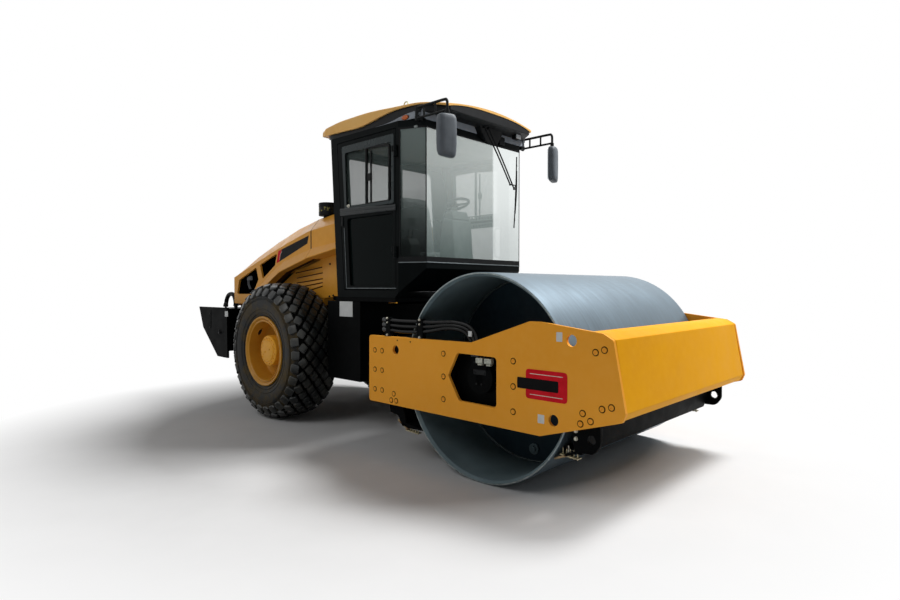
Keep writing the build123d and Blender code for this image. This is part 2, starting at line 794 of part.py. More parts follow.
def hood():
    shell = cover_shell() & split_prism(0)
    shell -= block(axle_x + cover_rear + 100, axle_x + split_side + 50, hood_wall - hood_half,
                   hood_half - hood_wall, axle_z + hood_bottom - 10, axle_z + hood_bottom + 20)
    for outline in hood_windows:
        for side in sides:
            shell -= xz_solid(at_cover(outline), side * (hood_half - hood_wall - 5), side * (hood_half + 5),
                              radius=14)
    pin_x, pin_z = axle_x + hood_pivot[0], axle_z + hood_pivot[1]
    for side in sides:
        y = side * hood_arm_y
        arm = rod((pin_x, y, pin_z), (pin_x + 20, y, pin_z + 115), hood_arm_radius)
        arm += rod((pin_x + 20, y, pin_z + 115), (axle_x + cover_rear + 10, y, pin_z + 135), hood_arm_radius)
        arm += across(pin_x, pin_z, y - 35, y + 35, hood_pin + 18)
        shell += arm
    return shell - across(pin_x, pin_z, -600, 600, hood_pin + run_gap)


def cowl():
    front = at_cab([(rear_wall_x(0) - 6, 0), (rear_wall_x(900) - 6, 900), (400, 900), (400, 0)])
    shell = cover_shell() - split_prism(hood_gap)
    shell -= xz_solid(front, -hood_half - 200, hood_half + 200)
    for side in sides:
        floor = [(split_side + hood_gap, between(flare_sections, split_side + hood_gap, 2)),
                 (560, between(flare_sections, 560, 2)), (830, between(flare_sections, 830, 2))]
        lip = [(x, z - flare_lip) for x, z in floor] + [(x, z + 6) for x, z in reversed(floor)]
        shell += xz_solid(at_cover(lip), side * (panel_half - panel_wall), side * (hood_half - hood_wall + 1))
    shell -= xz_solid(front, -hood_half - 200, hood_half + 200)
    return shell - upright(axle_x + cleaner_place[0], cleaner_place[1], tyre_top, tyre_top + 900,
                           cleaner_pipe + seat_gap)


def side_panel(side):
    # closes the engine bay under the cover, inside the wheel, on feet on the rail
    hood_side = [(x, lower - flare_lip - hood_gap) for x, upper, lower in flare_sections[1:4]]
    meet, tail = split_side, 830
    cowl_side = [(meet, between(flare_sections, meet, 2) - flare_lip - hood_gap),
                 (meet + hood_gap, between(flare_sections, meet + hood_gap, 2) - flare_lip),
                 (tail, between(flare_sections, tail, 2) - flare_lip)]
    deck_top = deck_bottom + deck_wall + seat_gap
    foot_line = [(860, deck_top), (deck_rear, deck_top), (deck_rear, deck_top - 10), (-880, 463), (-880, 480)]
    panel = xz_solid(at_cover(hood_side + cowl_side) + at_axle(foot_line),
                     side * (panel_half - panel_wall), side * panel_half)
    for x in (-780, 300):
        low, high = rail_top(x), rail_top(x) + 130
        foot = [(x, low), (x + 60, rail_top(x + 60)), (x + 60, high), (x, high)]
        panel += xz_solid(at_axle(foot), side * rail_inner, side * (panel_half - 5))
    return panel


def precleaner():
    x, y = axle_x + cleaner_place[0], cleaner_place[1]
    pipe = upright(x, y, tyre_top + 703, tyre_top + cleaner_low, cleaner_pipe)
    return pipe + upright(x, y, tyre_top + cleaner_low, tyre_top + cleaner_low + 140, cleaner_radius)


# Wheels

def tyre(side):
    half = tyre_width / 2
    shoulder, waist = tyre_radius - 62, (rim_bead_radius + tyre_radius) / 2
    low_wall = rim_bead_radius + 75
    outer = [(rim_bead_radius, rim_bead_half), (low_wall, half - 14), (waist, half), (shoulder, half - 14),
             (tyre_radius, half - 80)]
    inner = [(radius, -y) for radius, y in reversed(outer)]
    return turned(axle_x, axle_z, [(radius, side * track_half + y) for radius, y in outer + inner])


def rim(side):
    bead = rim_bead_radius - 0.5
    well = bead - 16.5
    lip = rim_bead_half + 46
    bore, face_out = hub_radius + 1, rim_face + 24
    section = [(rim_flange_radius, lip), (rim_flange_radius, lip - 12), (bead, lip - 20), (bead, 20 - lip),
               (rim_flange_radius, 12 - lip), (rim_flange_radius, -lip), (well, 6 - lip), (well, rim_face),
               (bore, rim_face), (bore, face_out), (well, face_out), (well, lip - 6)]
    return turned(axle_x, axle_z, [(radius, side * (track_half + y)) for radius, y in section])


def hub(side):
    section = [(0, -150), (hub_radius, -150), (hub_radius, rim_face - 30), (hub_radius + 46, rim_face - 30),
               (hub_radius + 46, rim_face), (hub_radius, rim_face), (hub_radius, 150), (118, 185), (0, 190)]
    return turned(axle_x, axle_z, [(radius, side * (track_half + y)) for radius, y in section])


# Hoses

def hoses():
    # three hoses along the right plate's top edge, which rise, cross and drop to the drum motor
    found = []
    for row, height in enumerate(hose_heights):
        z, end_x = drum_z + height, drum_x + 36 * (1 - row)
        path = FilletPolyline((drum_x + hose_start, -hose_y, z), (drum_x - 500, -hose_y, z),
                              (drum_x - 250, -hose_y + 12, z + 18), (end_x, -plate_outer + 55, z + 6),
                              (end_x, -plate_outer + 55, drum_z + motor_top),
                              radius=[900, 500, 150 - 20 * row])
        found.append(sweep(Plane((drum_x + hose_start, -hose_y, z), z_dir=(1, 0, 0)) * Circle(hose_radius),
                           path=path))
    return found


def plate_top(x):
    # the side plate's top edge, from its rear corner to where it starts to rise
    rear, front = plate_outline[0], plate_outline[-1]
    return rear[1] + (front[1] - rear[1]) * (x - rear[0]) / (front[0] - rear[0])


def hose_clamps():
    found = []
    for place in clamp_places:
        x = drum_x + place
        clamp = block(x - clamp_half, x + clamp_half, -plate_outer, clamp_depth - plate_outer,
                      plate_top(x + clamp_half), drum_z + hose_heights[0] + hose_radius + 8)
        for height in hose_heights:
            clamp -= rod((x - 60, -hose_y, drum_z + height), (x + 60, -hose_y, drum_z + height),
                         hose_radius + seat_gap)
        found.append(clamp)
    return found


write("side_plates", *[side_plate(side) for side in sides])
write("front_beam", front_beam())
write("rear_beam", rear_beam())
write("drum_shell", drum_shell())
write("drum_heads", *[drum_head(side) for side in sides])
write("drum_supports", *[drum_support(side) for side in sides])
write("drum_buffers", *(buffers(-1) + buffers(1)))
write("drum_motors", *[drum_motor(side) for side in sides])
write("scrapers", front_scraper(), rear_scraper())
write("centre_link", link_solid())
for side in sides:
    write("steer_barrel_" + names[side], steer_barrel(side))
    write("steer_rod_" + names[side], steer_rod(side))
    write("tyre_" + names[side], tyre(side))
    write("rim_" + names[side], rim(side))
    write("hub_" + names[side], hub(side))
    write("door_" + names[side], door_frame(side))
    write("door_glass_" + names[side], *door_glass(side))
write("rear_rails", *rails())
write("rear_crossmembers", *(crossmembers() + rail_brackets()))
write("rear_axle", rear_axle())
write("engine_block", engine_block())
write("side_tanks", *[side_tank(side) for side in sides])
write("counterweight", counterweight())
write("deck", deck())
write("cab_frame", cab_frame())
write("cab_glass", *cab_glass())
write("roof_shell", roof_shell())
write("roof_visor", roof_visor())
write("seat_base", seat_base())
write("seat_cushion", seat_cushion())
write("seat_back", seat_back())
write("steering_column", steering_column())
write("console", console())
write("mirrors", *[mirror(side) for side in sides])
write("hood", hood())
write("cowl", cowl())
write("side_panels", *[side_panel(side) for side in sides])
write("precleaner", precleaner())
write("hoses", *hoses())
write("hose_clamps", *hose_clamps())
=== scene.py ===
import bmesh
import bpy
import math
import random
from mathutils import Matrix, Vector


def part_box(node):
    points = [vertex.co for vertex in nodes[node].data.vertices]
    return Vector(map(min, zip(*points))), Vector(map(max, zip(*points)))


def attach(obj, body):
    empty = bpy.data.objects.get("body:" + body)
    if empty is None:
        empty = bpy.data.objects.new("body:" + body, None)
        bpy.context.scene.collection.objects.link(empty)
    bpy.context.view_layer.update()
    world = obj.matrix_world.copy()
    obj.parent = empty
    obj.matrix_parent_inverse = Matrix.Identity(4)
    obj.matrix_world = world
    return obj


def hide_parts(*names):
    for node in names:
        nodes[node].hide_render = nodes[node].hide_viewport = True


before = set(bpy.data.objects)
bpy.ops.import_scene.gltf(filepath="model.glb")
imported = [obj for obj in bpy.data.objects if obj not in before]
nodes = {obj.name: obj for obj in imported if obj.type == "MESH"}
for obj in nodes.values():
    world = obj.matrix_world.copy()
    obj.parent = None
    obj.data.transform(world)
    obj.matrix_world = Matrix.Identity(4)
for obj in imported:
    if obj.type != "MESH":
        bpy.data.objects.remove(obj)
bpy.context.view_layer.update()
random.seed(7)
mm = 0.001

# Places that the pieces are measured from
drumLow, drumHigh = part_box("drum_shell")
drumMid = (drumLow + drumHigh) / 2
rimLow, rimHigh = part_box("rim_right")
axleMid = (rimLow + rimHigh) / 2
tyreLow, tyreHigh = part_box("tyre_right")
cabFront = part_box("cab_frame")[1].x
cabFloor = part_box("cab_frame")[0].z
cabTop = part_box("cab_frame")[1].z
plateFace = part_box("side_plates")[1].y
sides = {"right": -1, "left": 1}


def atDrum(x, z):
    return drumMid.x + x * mm, drumMid.z + z * mm


def atAxle(x, z):
    return axleMid.x + x * mm, axleMid.z + z * mm


def atCover(x, z):
    return axleMid.x + x * mm, tyreHigh.z + z * mm


def inCab(x, y, z):
    # x from the windshield, height from the cab's floor
    return Vector((cabFront + x * mm, y * mm, cabFloor + z * mm))


def placed(place, x, y, z):
    # a point in X and Z from one of the places above, at y metres across the machine
    x, z = place(x, z)
    return Vector((x, y, z))


# ---- Materials

def linear(hexColour):
    values = [int(hexColour[i:i + 2], 16) / 255 for i in (1, 3, 5)]
    return [v / 12.92 if v <= 0.04045 else ((v + 0.055) / 1.055) ** 2.4 for v in values] + [1]


def addNode(tree, kind, values=None):
    # each value is a setting of the node, a fixed input, or the socket that feeds an input
    node = tree.nodes.new(kind)
    for key, value in (values or {}).items():
        if isinstance(value, bpy.types.NodeSocket):
            tree.links.new(value, node.inputs[key])
        elif isinstance(key, int) or key in node.inputs:
            node.inputs[key].default_value = value
        else:
            setattr(node, key, value)
    return node


def combine(tree, operation, first, second):
    return addNode(tree, "ShaderNodeMath", {"operation": operation, 0: first, 1: second}).outputs[0]


def noiseAt(tree, place, size, detail=4, roughness=0.55):
    # noise whose blotches are about size millimetres across
    return addNode(tree, "ShaderNodeTexNoise", {"Scale": 1 / (size * mm), "Detail": detail,
                                                "Roughness": roughness, "Vector": place}).outputs["Fac"]


def ramp(tree, value, low, high, toLow=0.0, toHigh=1.0):
    return addNode(tree, "ShaderNodeMapRange", {"From Min": low, "From Max": high, "To Min": toLow,
                                                "To Max": toHigh, "Value": value}).outputs[0]


def blendColours(tree, share, first, second):
    # first and second are hex values or colour sockets
    first, second = [linear(c) if isinstance(c, str) else c for c in (first, second)]
    return addNode(tree, "ShaderNodeMix", {"data_type": "RGBA", 0: share, 6: first, 7: second}).outputs[2]


def startMaterial(name, settings):
    material = bpy.data.materials.new(name)
    material.use_nodes = True
    tree = material.node_tree
    tree.nodes.clear()
    shader = addNode(tree, "ShaderNodeBsdfPrincipled", settings)
    addNode(tree, "ShaderNodeOutputMaterial", {"Surface": shader.outputs[0]})
    place = addNode(tree, "ShaderNodeTexCoord").outputs["Object"]
    return material, tree, shader, place


def dress(tree, shader, base, rough=None, normal=None):
    for name, source in (("Base Color", base), ("Roughness", rough), ("Normal", normal)):
        if source is not None:
            tree.links.new(source, shader.inputs[name])


def edgeMask(tree, place, width, grain):
    # 1 along the outer edges, broken up by noise of the grain's size
    eased = addNode(tree, "ShaderNodeBevel", {"samples": 4, "Radius": width * mm}).outputs[0]
    flat = addNode(tree, "ShaderNodeNewGeometry").outputs["Normal"]
    dot = addNode(tree, "ShaderNodeVectorMath", {"operation": "DOT_PRODUCT", 0: eased,
                                                 1: flat}).outputs["Value"]
    return combine(tree, "MULTIPLY", ramp(tree, dot, 0.97, 0.8),
                   ramp(tree, noiseAt(tree, place, grain, 6), 0.45, 0.62))


def bumpFrom(tree, height, depth):
    return addNode(tree, "ShaderNodeBump", {"Strength": 1.0, "Distance": depth * mm,
                                            "Height": height}).outputs[0]


def sprayedEnamel(name, colour, light, dark, roughness, peel, worn="#8A8780", gloss=0.35):
    # polyurethane enamel sprayed on steel plate: an even colour, a wet-looking skin over fine orange peel
    material, tree, shader, place = startMaterial(name, {"IOR": 1.5, "Specular IOR Level": gloss})
    tintShare = 0.35
    broad = ramp(tree, noiseAt(tree, place, 900, 3), 0.3, 0.7)
    fine = ramp(tree, noiseAt(tree, place, 60, 5), 0.4, 0.75)
    base = blendColours(tree, broad, dark, colour)
    base = blendColours(tree, combine(tree, "MULTIPLY", fine, tintShare), base, light)
    # the edges take the edge tone: worn paint where it is grey or dark, a painted highlight where it is pale
    base = blendColours(tree, combine(tree, "MULTIPLY", edgeMask(tree, place, 3, 45), tintShare), base, worn)
    rough = ramp(tree, noiseAt(tree, place, 140, 5), 0.3, 0.75, roughness - 0.06, roughness + 0.1)
    # the real peel is about 1.5 mm across, drawn coarser so that it shows
    dress(tree, shader, base, rough, bumpFrom(tree, noiseAt(tree, place, peel, 2), 0.05))
    return material


def rolledSteel():
    # hot-rolled shell plate turned true: blue-grey, with fine rings round the drum and rubbed patches
    material, tree, shader, place = startMaterial("rolledSteel", {"Metallic": 0.55, "IOR": 1.5})
    stretched = addNode(tree, "ShaderNodeMapping", {"Scale": (0.5, 9, 0.5), "Vector": place}).outputs[0]
    rings = noiseAt(tree, stretched, 160, 6, 0.65)
    patches = ramp(tree, noiseAt(tree, place, 260, 6), 0.35, 0.7)
    base = blendColours(tree, ramp(tree, rings, 0.35, 0.7), "#5A6A75", "#6C7E8A")
    base = blendColours(tree, combine(tree, "MULTIPLY", patches, 0.3), base, "#4C5A64")
    base = blendColours(tree, edgeMask(tree, place, 6, 30), base, "#A9B0B2")
    dress(tree, shader, base, ramp(tree, rings, 0.3, 0.8, 0.34, 0.52), bumpFrom(tree, rings, 0.12))
    return material


def primedSteelLit():
    # the drum's inside: blue-green primer over mill scale, painted far paler than the dark primer itself:
    # painted light on the lower inside, which the lamps hardly reach
    material, tree, shader, place = startMaterial("primedSteelLit", {"IOR": 1.5, "Specular IOR Level": 0.2})
    cloud = ramp(tree, noiseAt(tree, place, 320, 6), 0.3, 0.72)
    base = blendColours(tree, cloud, "#5C6D73", "#76878D")
    base = blendColours(tree, ramp(tree, noiseAt(tree, place, 18, 5), 0.62, 0.85, 0, 0.3), base, "#7A827E")
    dress(tree, shader, base, ramp(tree, cloud, 0, 1, 0.42, 0.6),
          bumpFrom(tree, noiseAt(tree, place, 12, 4), 0.15))
    return material


def vulcanisedRubber(name, dark, dusty, dustShare, grain, depth, roughness, gloss=0.3):
    # vulcanised rubber out of a mould: charcoal, dull, with pale dust lying in patches
    material, tree, shader, place = startMaterial(name, {"IOR": 1.52, "Specular IOR Level": gloss})
    patches = ramp(tree, noiseAt(tree, place, 210, 8, 0.7), 0.45, 0.66, 0, dustShare)
    dress(tree, shader, blendColours(tree, patches, dark, dusty),
          ramp(tree, patches, 0, 1, roughness - 0.12, roughness + 0.15),
          bumpFrom(tree, noiseAt(tree, place, grain, 5), depth))
    return material


def mouldedPlastic(name, dark, light, grain=2.5, roughness=0.5, gloss=0.3):
    # injection-moulded nylon: one colour with a fine spark-eroded grain
    material, tree, shader, place = startMaterial(name, {"IOR": 1.46, "Specular IOR Level": gloss})
    base = blendColours(tree, ramp(tree, noiseAt(tree, place, 90, 4), 0.3, 0.7), dark, light)
    rough = ramp(tree, noiseAt(tree, place, 40, 4), 0.3, 0.7, roughness - 0.07, roughness + 0.08)
    dress(tree, shader, base, rough, bumpFrom(tree, noiseAt(tree, place, grain, 2), 0.1))
    return material


def barMetal(name, dark, light, roughness, metallic=1.0, grain=6):
    # bare or plated metal, with faint handling marks in its gloss
    material, tree, shader, place = startMaterial(name, {"Metallic": metallic})
    marks = noiseAt(tree, place, grain, 5)
    dress(tree, shader, blendColours(tree, ramp(tree, marks, 0.35, 0.7), dark, light),
          ramp(tree, marks, 0.3, 0.75, roughness - 0.06, roughness + 0.12), bumpFrom(tree, marks, 0.04))
    return material


def wovenCloth(name, dark, light, thread):
    # polyester seat cloth: a plain weave, its real 1 mm thread drawn coarser so that it shows
    material, tree, shader, place = startMaterial(name, {"Sheen Weight": 0.3, "Sheen Roughness": 0.5,
                                                         "Roughness": 0.85, "IOR": 1.45})
    settings = {"Scale": 1 / (thread * mm) / 3, "Distortion": 0.4, "Vector": place}
    across, along = [addNode(tree, "ShaderNodeTexWave", {**settings, "bands_direction": way}).outputs["Fac"]
                     for way in "XY"]
    weave = combine(tree, "MULTIPLY", across, along)
    dress(tree, shader, blendColours(tree, weave, dark, light), normal=bumpFrom(tree, weave, 0.4))
    return material


finish = {
    # the ochre, plate and rim finishes have a pale edge tone: a painted highlight along their edges
    "ochre": sprayedEnamel("ochreEnamel", "#F2AA0C", "#F5B018", "#EAA10A", 0.42, 4, "#FFDC90", 0.04),
    # the side plates get a paler copy of the ochre: painted light lifting their shaded side
    "plateOchre": sprayedEnamel("plateEnamelPaintedLight", "#FCAE3E", "#FDB44A", "#F4A534", 0.42, 4, "#FFE2A8", 0.04),
    "wheelOchre": sprayedEnamel("wheelEnamel", "#FAB430", "#FFBE40", "#E6A026", 0.38, 5, gloss=0.2),
    "rimOchre": sprayedEnamel("rimEnamel", "#D0952E", "#DAA03A", "#B47C20", 0.36, 5, "#F0C880", 0.25),
    "frame": sprayedEnamel("chassisEnamel", "#070809", "#0F1011", "#040505", 0.45, 5, "#2C2A28", 0.02),
    "cab": sprayedEnamel("cabEnamel", "#080C0D", "#101617", "#050808", 0.38, 4, "#2A3032", 0.03),
    "drum": rolledSteel(),
    "primer": primedSteelLit(),
    # the heads take a darker copy of the same primer: painted shade deep inside the drum
    "headPrimerShaded": sprayedEnamel("headPrimerShaded", "#283A44", "#364852", "#1E2B33", 0.5, 6, "#39423F", 0.1),
    "tyre": vulcanisedRubber("treadRubber", "#1A1D1D", "#4E4C44", 0.5, 9, 0.8, 0.42),
    "sidewall": vulcanisedRubber("sidewallRubber", "#0D0E0D", "#54462A", 0.75, 12, 1.6, 0.6, 0.12),
    # near-black rubber between the tread blocks: painted shade in the grooves
    "grooveShade": vulcanisedRubber("grooveShadeRubber", "#020202", "#0C0B0A", 0.3, 9, 0.5, 0.9, 0.03),
    "rubber": vulcanisedRubber("bufferRubber", "#030404", "#101012", 0.25, 5, 0.2, 0.36, 0.16),
    "iron": sprayedEnamel("castIron", "#17191A", "#242729", "#0F1011", 0.5, 7, "#5A5048", 0.12),
    "chrome": barMetal("chromedRod", "#B8BCC0", "#D0D4D8", 0.12),
    "zinc": barMetal("zincPlate", "#8F8C80", "#B9B6AA", 0.35),
    "cloth": wovenCloth("seatCloth", "#4A5150", "#626A68", 4),
    "plastic": mouldedPlastic("cabPlastic", "#6A7573", "#7C8784"),
    "seal": mouldedPlastic("sealRubber", "#08090A", "#111314", 3, 0.55, 0.12),
    "label": mouldedPlastic("labelVinyl", "#C9CCCB", "#DADCDB", 3, 0.4),
    "red": mouldedPlastic("redVinyl", "#C80E1E", "#DE1A2A", 3, 0.4, 0.1),
    "black": mouldedPlastic("blackVinyl", "#040405", "#0A0A0B", 3, 0.4, 0.06),
    "amber": mouldedPlastic("amberLens", "#B8501E", "#D06A2C", 4, 0.2),
    "lens": mouldedPlastic("clearLens", "#C8CCD0", "#E0E4E6", 4, 0.15),
}

nodeFinish = {
    "plateOchre": ["side_plates"],
    "ochre": ["front_beam", "roof_shell", "rim_", "hub_"],
    "frame": ["rear_beam", "scrapers", "centre_link", "steer_barrel_", "rear_rails", "rear_crossmembers",
              "side_tanks", "counterweight", "deck", "drum_supports", "hose_clamps", "drum_motors"],
    "cab": ["cab_frame", "door_right", "door_left", "roof_visor"],
    "iron": ["rear_axle", "engine_block"],
    "drum": ["drum_shell"],
    "headPrimerShaded": ["drum_heads"],
    "chrome": ["steer_rod_"],
    "rubber": ["drum_buffers", "hoses"],
    "tyre": ["tyre_"],
    "plastic": ["mirrors", "console", "steering_column", "seat_base"],
    "seal": ["precleaner"],
    "cloth": ["seat_cushion", "seat_back"],
}


def finishNodes(table):
    for look, starts in table.items():
        for nodeName, node in nodes.items():
            if nodeName.startswith(tuple(starts)):
                node.data.materials[0] = finish[look]


finishNodes(nodeFinish)
print("stage: materials")

# ---- Camera, lamps and floor

scene = bpy.context.scene
cameraSpec = {"place": (4.685, -4.326, 1.427), "heading": 133.12, "pitch": -1.25, "lens": 23.54}
camera = bpy.data.objects.new("camera", bpy.data.cameras.new("camera"))
scene.collection.objects.link(camera)
camera.location = cameraSpec["place"]
camera.rotation_euler = (math.radians(90 + cameraSpec["pitch"]), 0, math.radians(cameraSpec["heading"] - 90))
camera.data.lens = cameraSpec["lens"]
camera.data.sensor_width = 36
scene.camera = camera
scene.view_settings.view_transform = "Standard"


def hangLamp(name, place, watts, size):
    lamp = bpy.data.objects.new(name, bpy.data.lights.new(name, "AREA"))
    lamp.data.energy, lamp.data.size = watts, size
    lamp.location = place
    scene.collection.objects.link(lamp)
    return lamp


lampSpec = {      # place, watts, size
    "frontKey": ((4.2, 4.2, 9.5), 1450, 3.2),
    "sideFill": ((-1.0, -7.5, 7.0), 160, 4.5),
    "backWash": ((-8.5, 3.0, 6.0), 70, 5.0),
}
lampAim = Vector((0, 0, 1.2))
for lampName, (place, watts, size) in lampSpec.items():
    lamp = hangLamp(lampName, place, watts, size)
    lamp.rotation_euler = (lampAim - Vector(place)).to_track_quat("-Z", "Y").to_euler()
# the cab's own lamp, under its ceiling
dome = hangLamp("domeLamp", (cabFront - 0.55, 0, cabTop - 0.16), 9, 0.7)
dome.visible_camera = False
dome.visible_glossy = False


def straightRays(tree):
    # 1 for what is seen directly, in a reflection or through glass
    rays = addNode(tree, "ShaderNodeLightPath").outputs
    seen = combine(tree, "MAXIMUM", rays["Is Camera Ray"], rays["Is Glossy Ray"])
    return combine(tree, "MAXIMUM", seen, rays["Is Transmission Ray"])


world = bpy.data.worlds.new("studio")
scene.world = world
world.use_nodes = True
worldTree = world.node_tree
worldTree.nodes.clear()
strength = ramp(worldTree, straightRays(worldTree), 0, 1, 0.12, 1.0)
sky = addNode(worldTree, "ShaderNodeBackground", {"Color": (1, 1, 1, 1), "Strength": strength})
addNode(worldTree, "ShaderNodeOutputWorld", {"Surface": sky.outputs[0]})

floorSpec = {"reach": 60.0, "clear": 2.5, "faded": 4.4}


def studioFloor():
    # painted concrete near the machine, which fades to the white of the backdrop further out
    material, tree, shader, place = startMaterial("studioFloor", {"Roughness": 0.9, "IOR": 1.4,
                                                                  "Specular IOR Level": 0.1})
    dress(tree, shader, blendColours(tree, noiseAt(tree, place, 400, 6), "#D2D2D2", "#DEDEDE"))
    distance = addNode(tree, "ShaderNodeVectorMath", {"operation": "LENGTH", 0: place}).outputs["Value"]
    far = ramp(tree, distance, floorSpec["clear"], floorSpec["faded"])
    white = addNode(tree, "ShaderNodeEmission", {"Color": (1, 1, 1, 1), "Strength": 1.0})
    mixed = addNode(tree, "ShaderNodeMixShader", {0: combine(tree, "MULTIPLY", far, straightRays(tree)),
                                                  1: shader.outputs[0], 2: white.outputs[0]})
    output = next(n for n in tree.nodes if n.type == "OUTPUT_MATERIAL")
    tree.links.new(mixed.outputs[0], output.inputs["Surface"])
    return material


reach = floorSpec["reach"]
floorMesh = bpy.data.meshes.new("floor")
floorMesh.from_pydata([(-reach, -reach, 0), (reach, -reach, 0), (reach, reach, 0), (-reach, reach, 0)], [],
                      [(0, 1, 2, 3)])
floorMesh.materials.append(studioFloor())
floor = bpy.data.objects.new("floor", floorMesh)
floor.location.z = -1 * mm
scene.collection.objects.link(floor)
print("stage: camera and studio")

# ---- Making meshes

def addBox(part, low, high):
    low, high = Vector(low), Vector(high)
    size = Matrix.Diagonal([abs(high.x - low.x), abs(high.y - low.y), abs(high.z - low.z), 1])
    bmesh.ops.create_cube(part, size=1, matrix=Matrix.Translation((low + high) / 2) @ size)


def addRod(part, start, end, radius, sides=24, tip=None):
    start, end = Vector(start), Vector(end)
    turn = (end - start).to_track_quat("Z", "Y").to_matrix().to_4x4()
    bmesh.ops.create_cone(part, cap_ends=True, segments=sides, radius1=radius,
                          radius2=radius if tip is None else tip, depth=(end - start).length,
                          matrix=Matrix.Translation((start + end) / 2) @ turn)


def roundAbout(centre, radius, count, shift=0.0, y=0.0):
    # points on a circle about the Y line through centre
    spots = []
    for step in range(count):
        angle = 2 * math.pi * (step + shift) / count
        spots.append(centre + Vector((radius * math.cos(angle), y, radius * math.sin(angle))))
    return spots


def addTurned(part, centre, profile, steps=96, look=0, closed=True):
    # a profile of (radius, along Y) points, turned about the Y line through centre
    rings = []
    for step in range(steps):
        angle = 2 * math.pi * step / steps
        rings.append([part.verts.new((centre[0] + r * math.cos(angle), centre[1] + y,
                                      centre[2] + r * math.sin(angle))) for r, y in profile])
    count = len(profile)
    for ring, after in zip(rings, rings[1:] + rings[:1]):
        for i in range(count if closed else count - 1):
            j = (i + 1) % count
            part.faces.new((ring[i], ring[j], after[j], after[i])).material_index = look


def addPrism(part, outline, depth, look=0):
    # an outline of points in space, carried by the vector depth
    depth = Vector(depth)
    first = [part.verts.new(p) for p in outline]
    last = [part.verts.new(Vector(p) + depth) for p in outline]
    faces = [part.faces.new(first), part.faces.new(list(reversed(last)))]
    for i in range(len(first)):
        j = (i + 1) % len(first)
        faces.append(part.faces.new((first[j], first[i], last[i], last[j])))
    for face in faces:
        face.material_index = look


def addBar(part, outline, half):
    # an outline in X and Z at one side, carried half that far past the middle and as far again
    addPrism(part, [(p[0], -half, p[1]) for p in outline], (0, 2 * half, 0))


def addLoft(part, sections, look=0):
    # faces between outlines with equal counts of points, and one on each end
    rings = [[part.verts.new(p) for p in section] for section in sections]
    for ring, after in zip(rings, rings[1:]):
        for i in range(len(ring)):
            j = (i + 1) % len(ring)
            part.faces.new((ring[i], ring[j], after[j], after[i])).material_index = look
    part.faces.new(rings[0]).material_index = look
    part.faces.new(list(reversed(rings[-1]))).material_index = look


def addFrame(part, outer, inner, depth, look=0):
    # a flat ring between two outlines with equal counts of points
    depth = Vector(depth)
    loops = []
    for outline, shift in ((outer, Vector()), (inner, Vector()), (inner, depth), (outer, depth)):
        loops.append([part.verts.new(Vector(p) + shift) for p in outline])
    for first, second in zip(loops, loops[1:] + loops[:1]):
        for i in range(len(first)):
            j = (i + 1) % len(first)
            part.faces.new((first[i], first[j], second[j], second[i])).material_index = look


def rounded(points, radius, steps=5):
    # a flat outline with its corners turned into arcs
    made = []
    for i, corner in enumerate(points):
        corner = Vector(corner)
        before, after = Vector(points[i - 1]) - corner, Vector(points[(i + 1) % len(points)]) - corner
        half = before.angle(after) / 2
        reach = min(radius / math.tan(half), 0.45 * before.length, 0.45 * after.length)
        start, end = corner + before.normalized() * reach, corner + after.normalized() * reach
        for step in range(steps + 1):
            t = step / steps
            made.append(start * (1 - t) ** 2 + corner * 2 * t * (1 - t) + end * t ** 2)
    return made


def roundedBox(x0, z0, x1, z1, radius, steps):
    return rounded([(x0, z0), (x1, z0), (x1, z1), (x0, z1)], radius, steps)


def smoothPath(points, steps=8):
    # a curve through the points
    points = [Vector(p) for p in points]
    padded = [2 * points[0] - points[1]] + points + [2 * points[-1] - points[-2]]
    made = []
    for a, b, c, d in zip(padded, padded[1:], padded[2:], padded[3:]):
        for step in range(steps):
            t = step / steps
            made.append(0.5 * (2 * b + (c - a) * t + (2 * a - 5 * b + 4 * c - d) * t * t
                               + (3 * b - a - 3 * c + d) * t ** 3))
    return made + [points[-1]]


def addTube(part, path, radius, sides=12, look=0):
    # a round tube along points, its ring turned as little as the path allows
    path = [Vector(p) for p in path]
    side = (path[1] - path[0]).normalized().orthogonal().normalized()
    rings = []
    for i, point in enumerate(path):
        ahead = (path[min(i + 1, len(path) - 1)] - path[max(i - 1, 0)]).normalized()
        side = (side - ahead * side.dot(ahead)).normalized()
        up = ahead.cross(side)
        angles = [2 * math.pi * k / sides for k in range(sides)]
        rings.append([point + (side * math.cos(a) + up * math.sin(a)) * radius for a in angles])
    addLoft(part, rings, look)


def addBolt(part, place, out, size, washer=True):
    # a hexagon head of that width across its flats, on a washer
    place, out = Vector(place), Vector(out).normalized()
    if washer:
        addRod(part, place - out * size * 0.05, place + out * size * 0.12, size * 0.68, 20)
    addRod(part, place, place + out * size * 0.6, size * 0.58, 6)


def between(table, x):
    # the row of the table at x, its first column, read in a straight line between rows
    for before, after in zip(table, table[1:]):
        if x <= after[0]:
            share = (x - before[0]) / (after[0] - before[0])
            return [a + (b - a) * share for a, b in zip(before[1:], after[1:])]
    return list(table[-1][1:])


def onSide(side, points, y, place=None):
    # points in X and Z, set at y metres on one side of the machine
    spots = [place(*p) for p in points] if place else points
    return [(x, side * y, z) for x, z in spots]


def bevelEdges(piece, width, segments, angle):
    edge = piece.modifiers.new("edge", "BEVEL")
    edge.width = width * mm
    edge.segments = segments
    edge.limit_method = "ANGLE"
    edge.angle_limit = math.radians(angle)


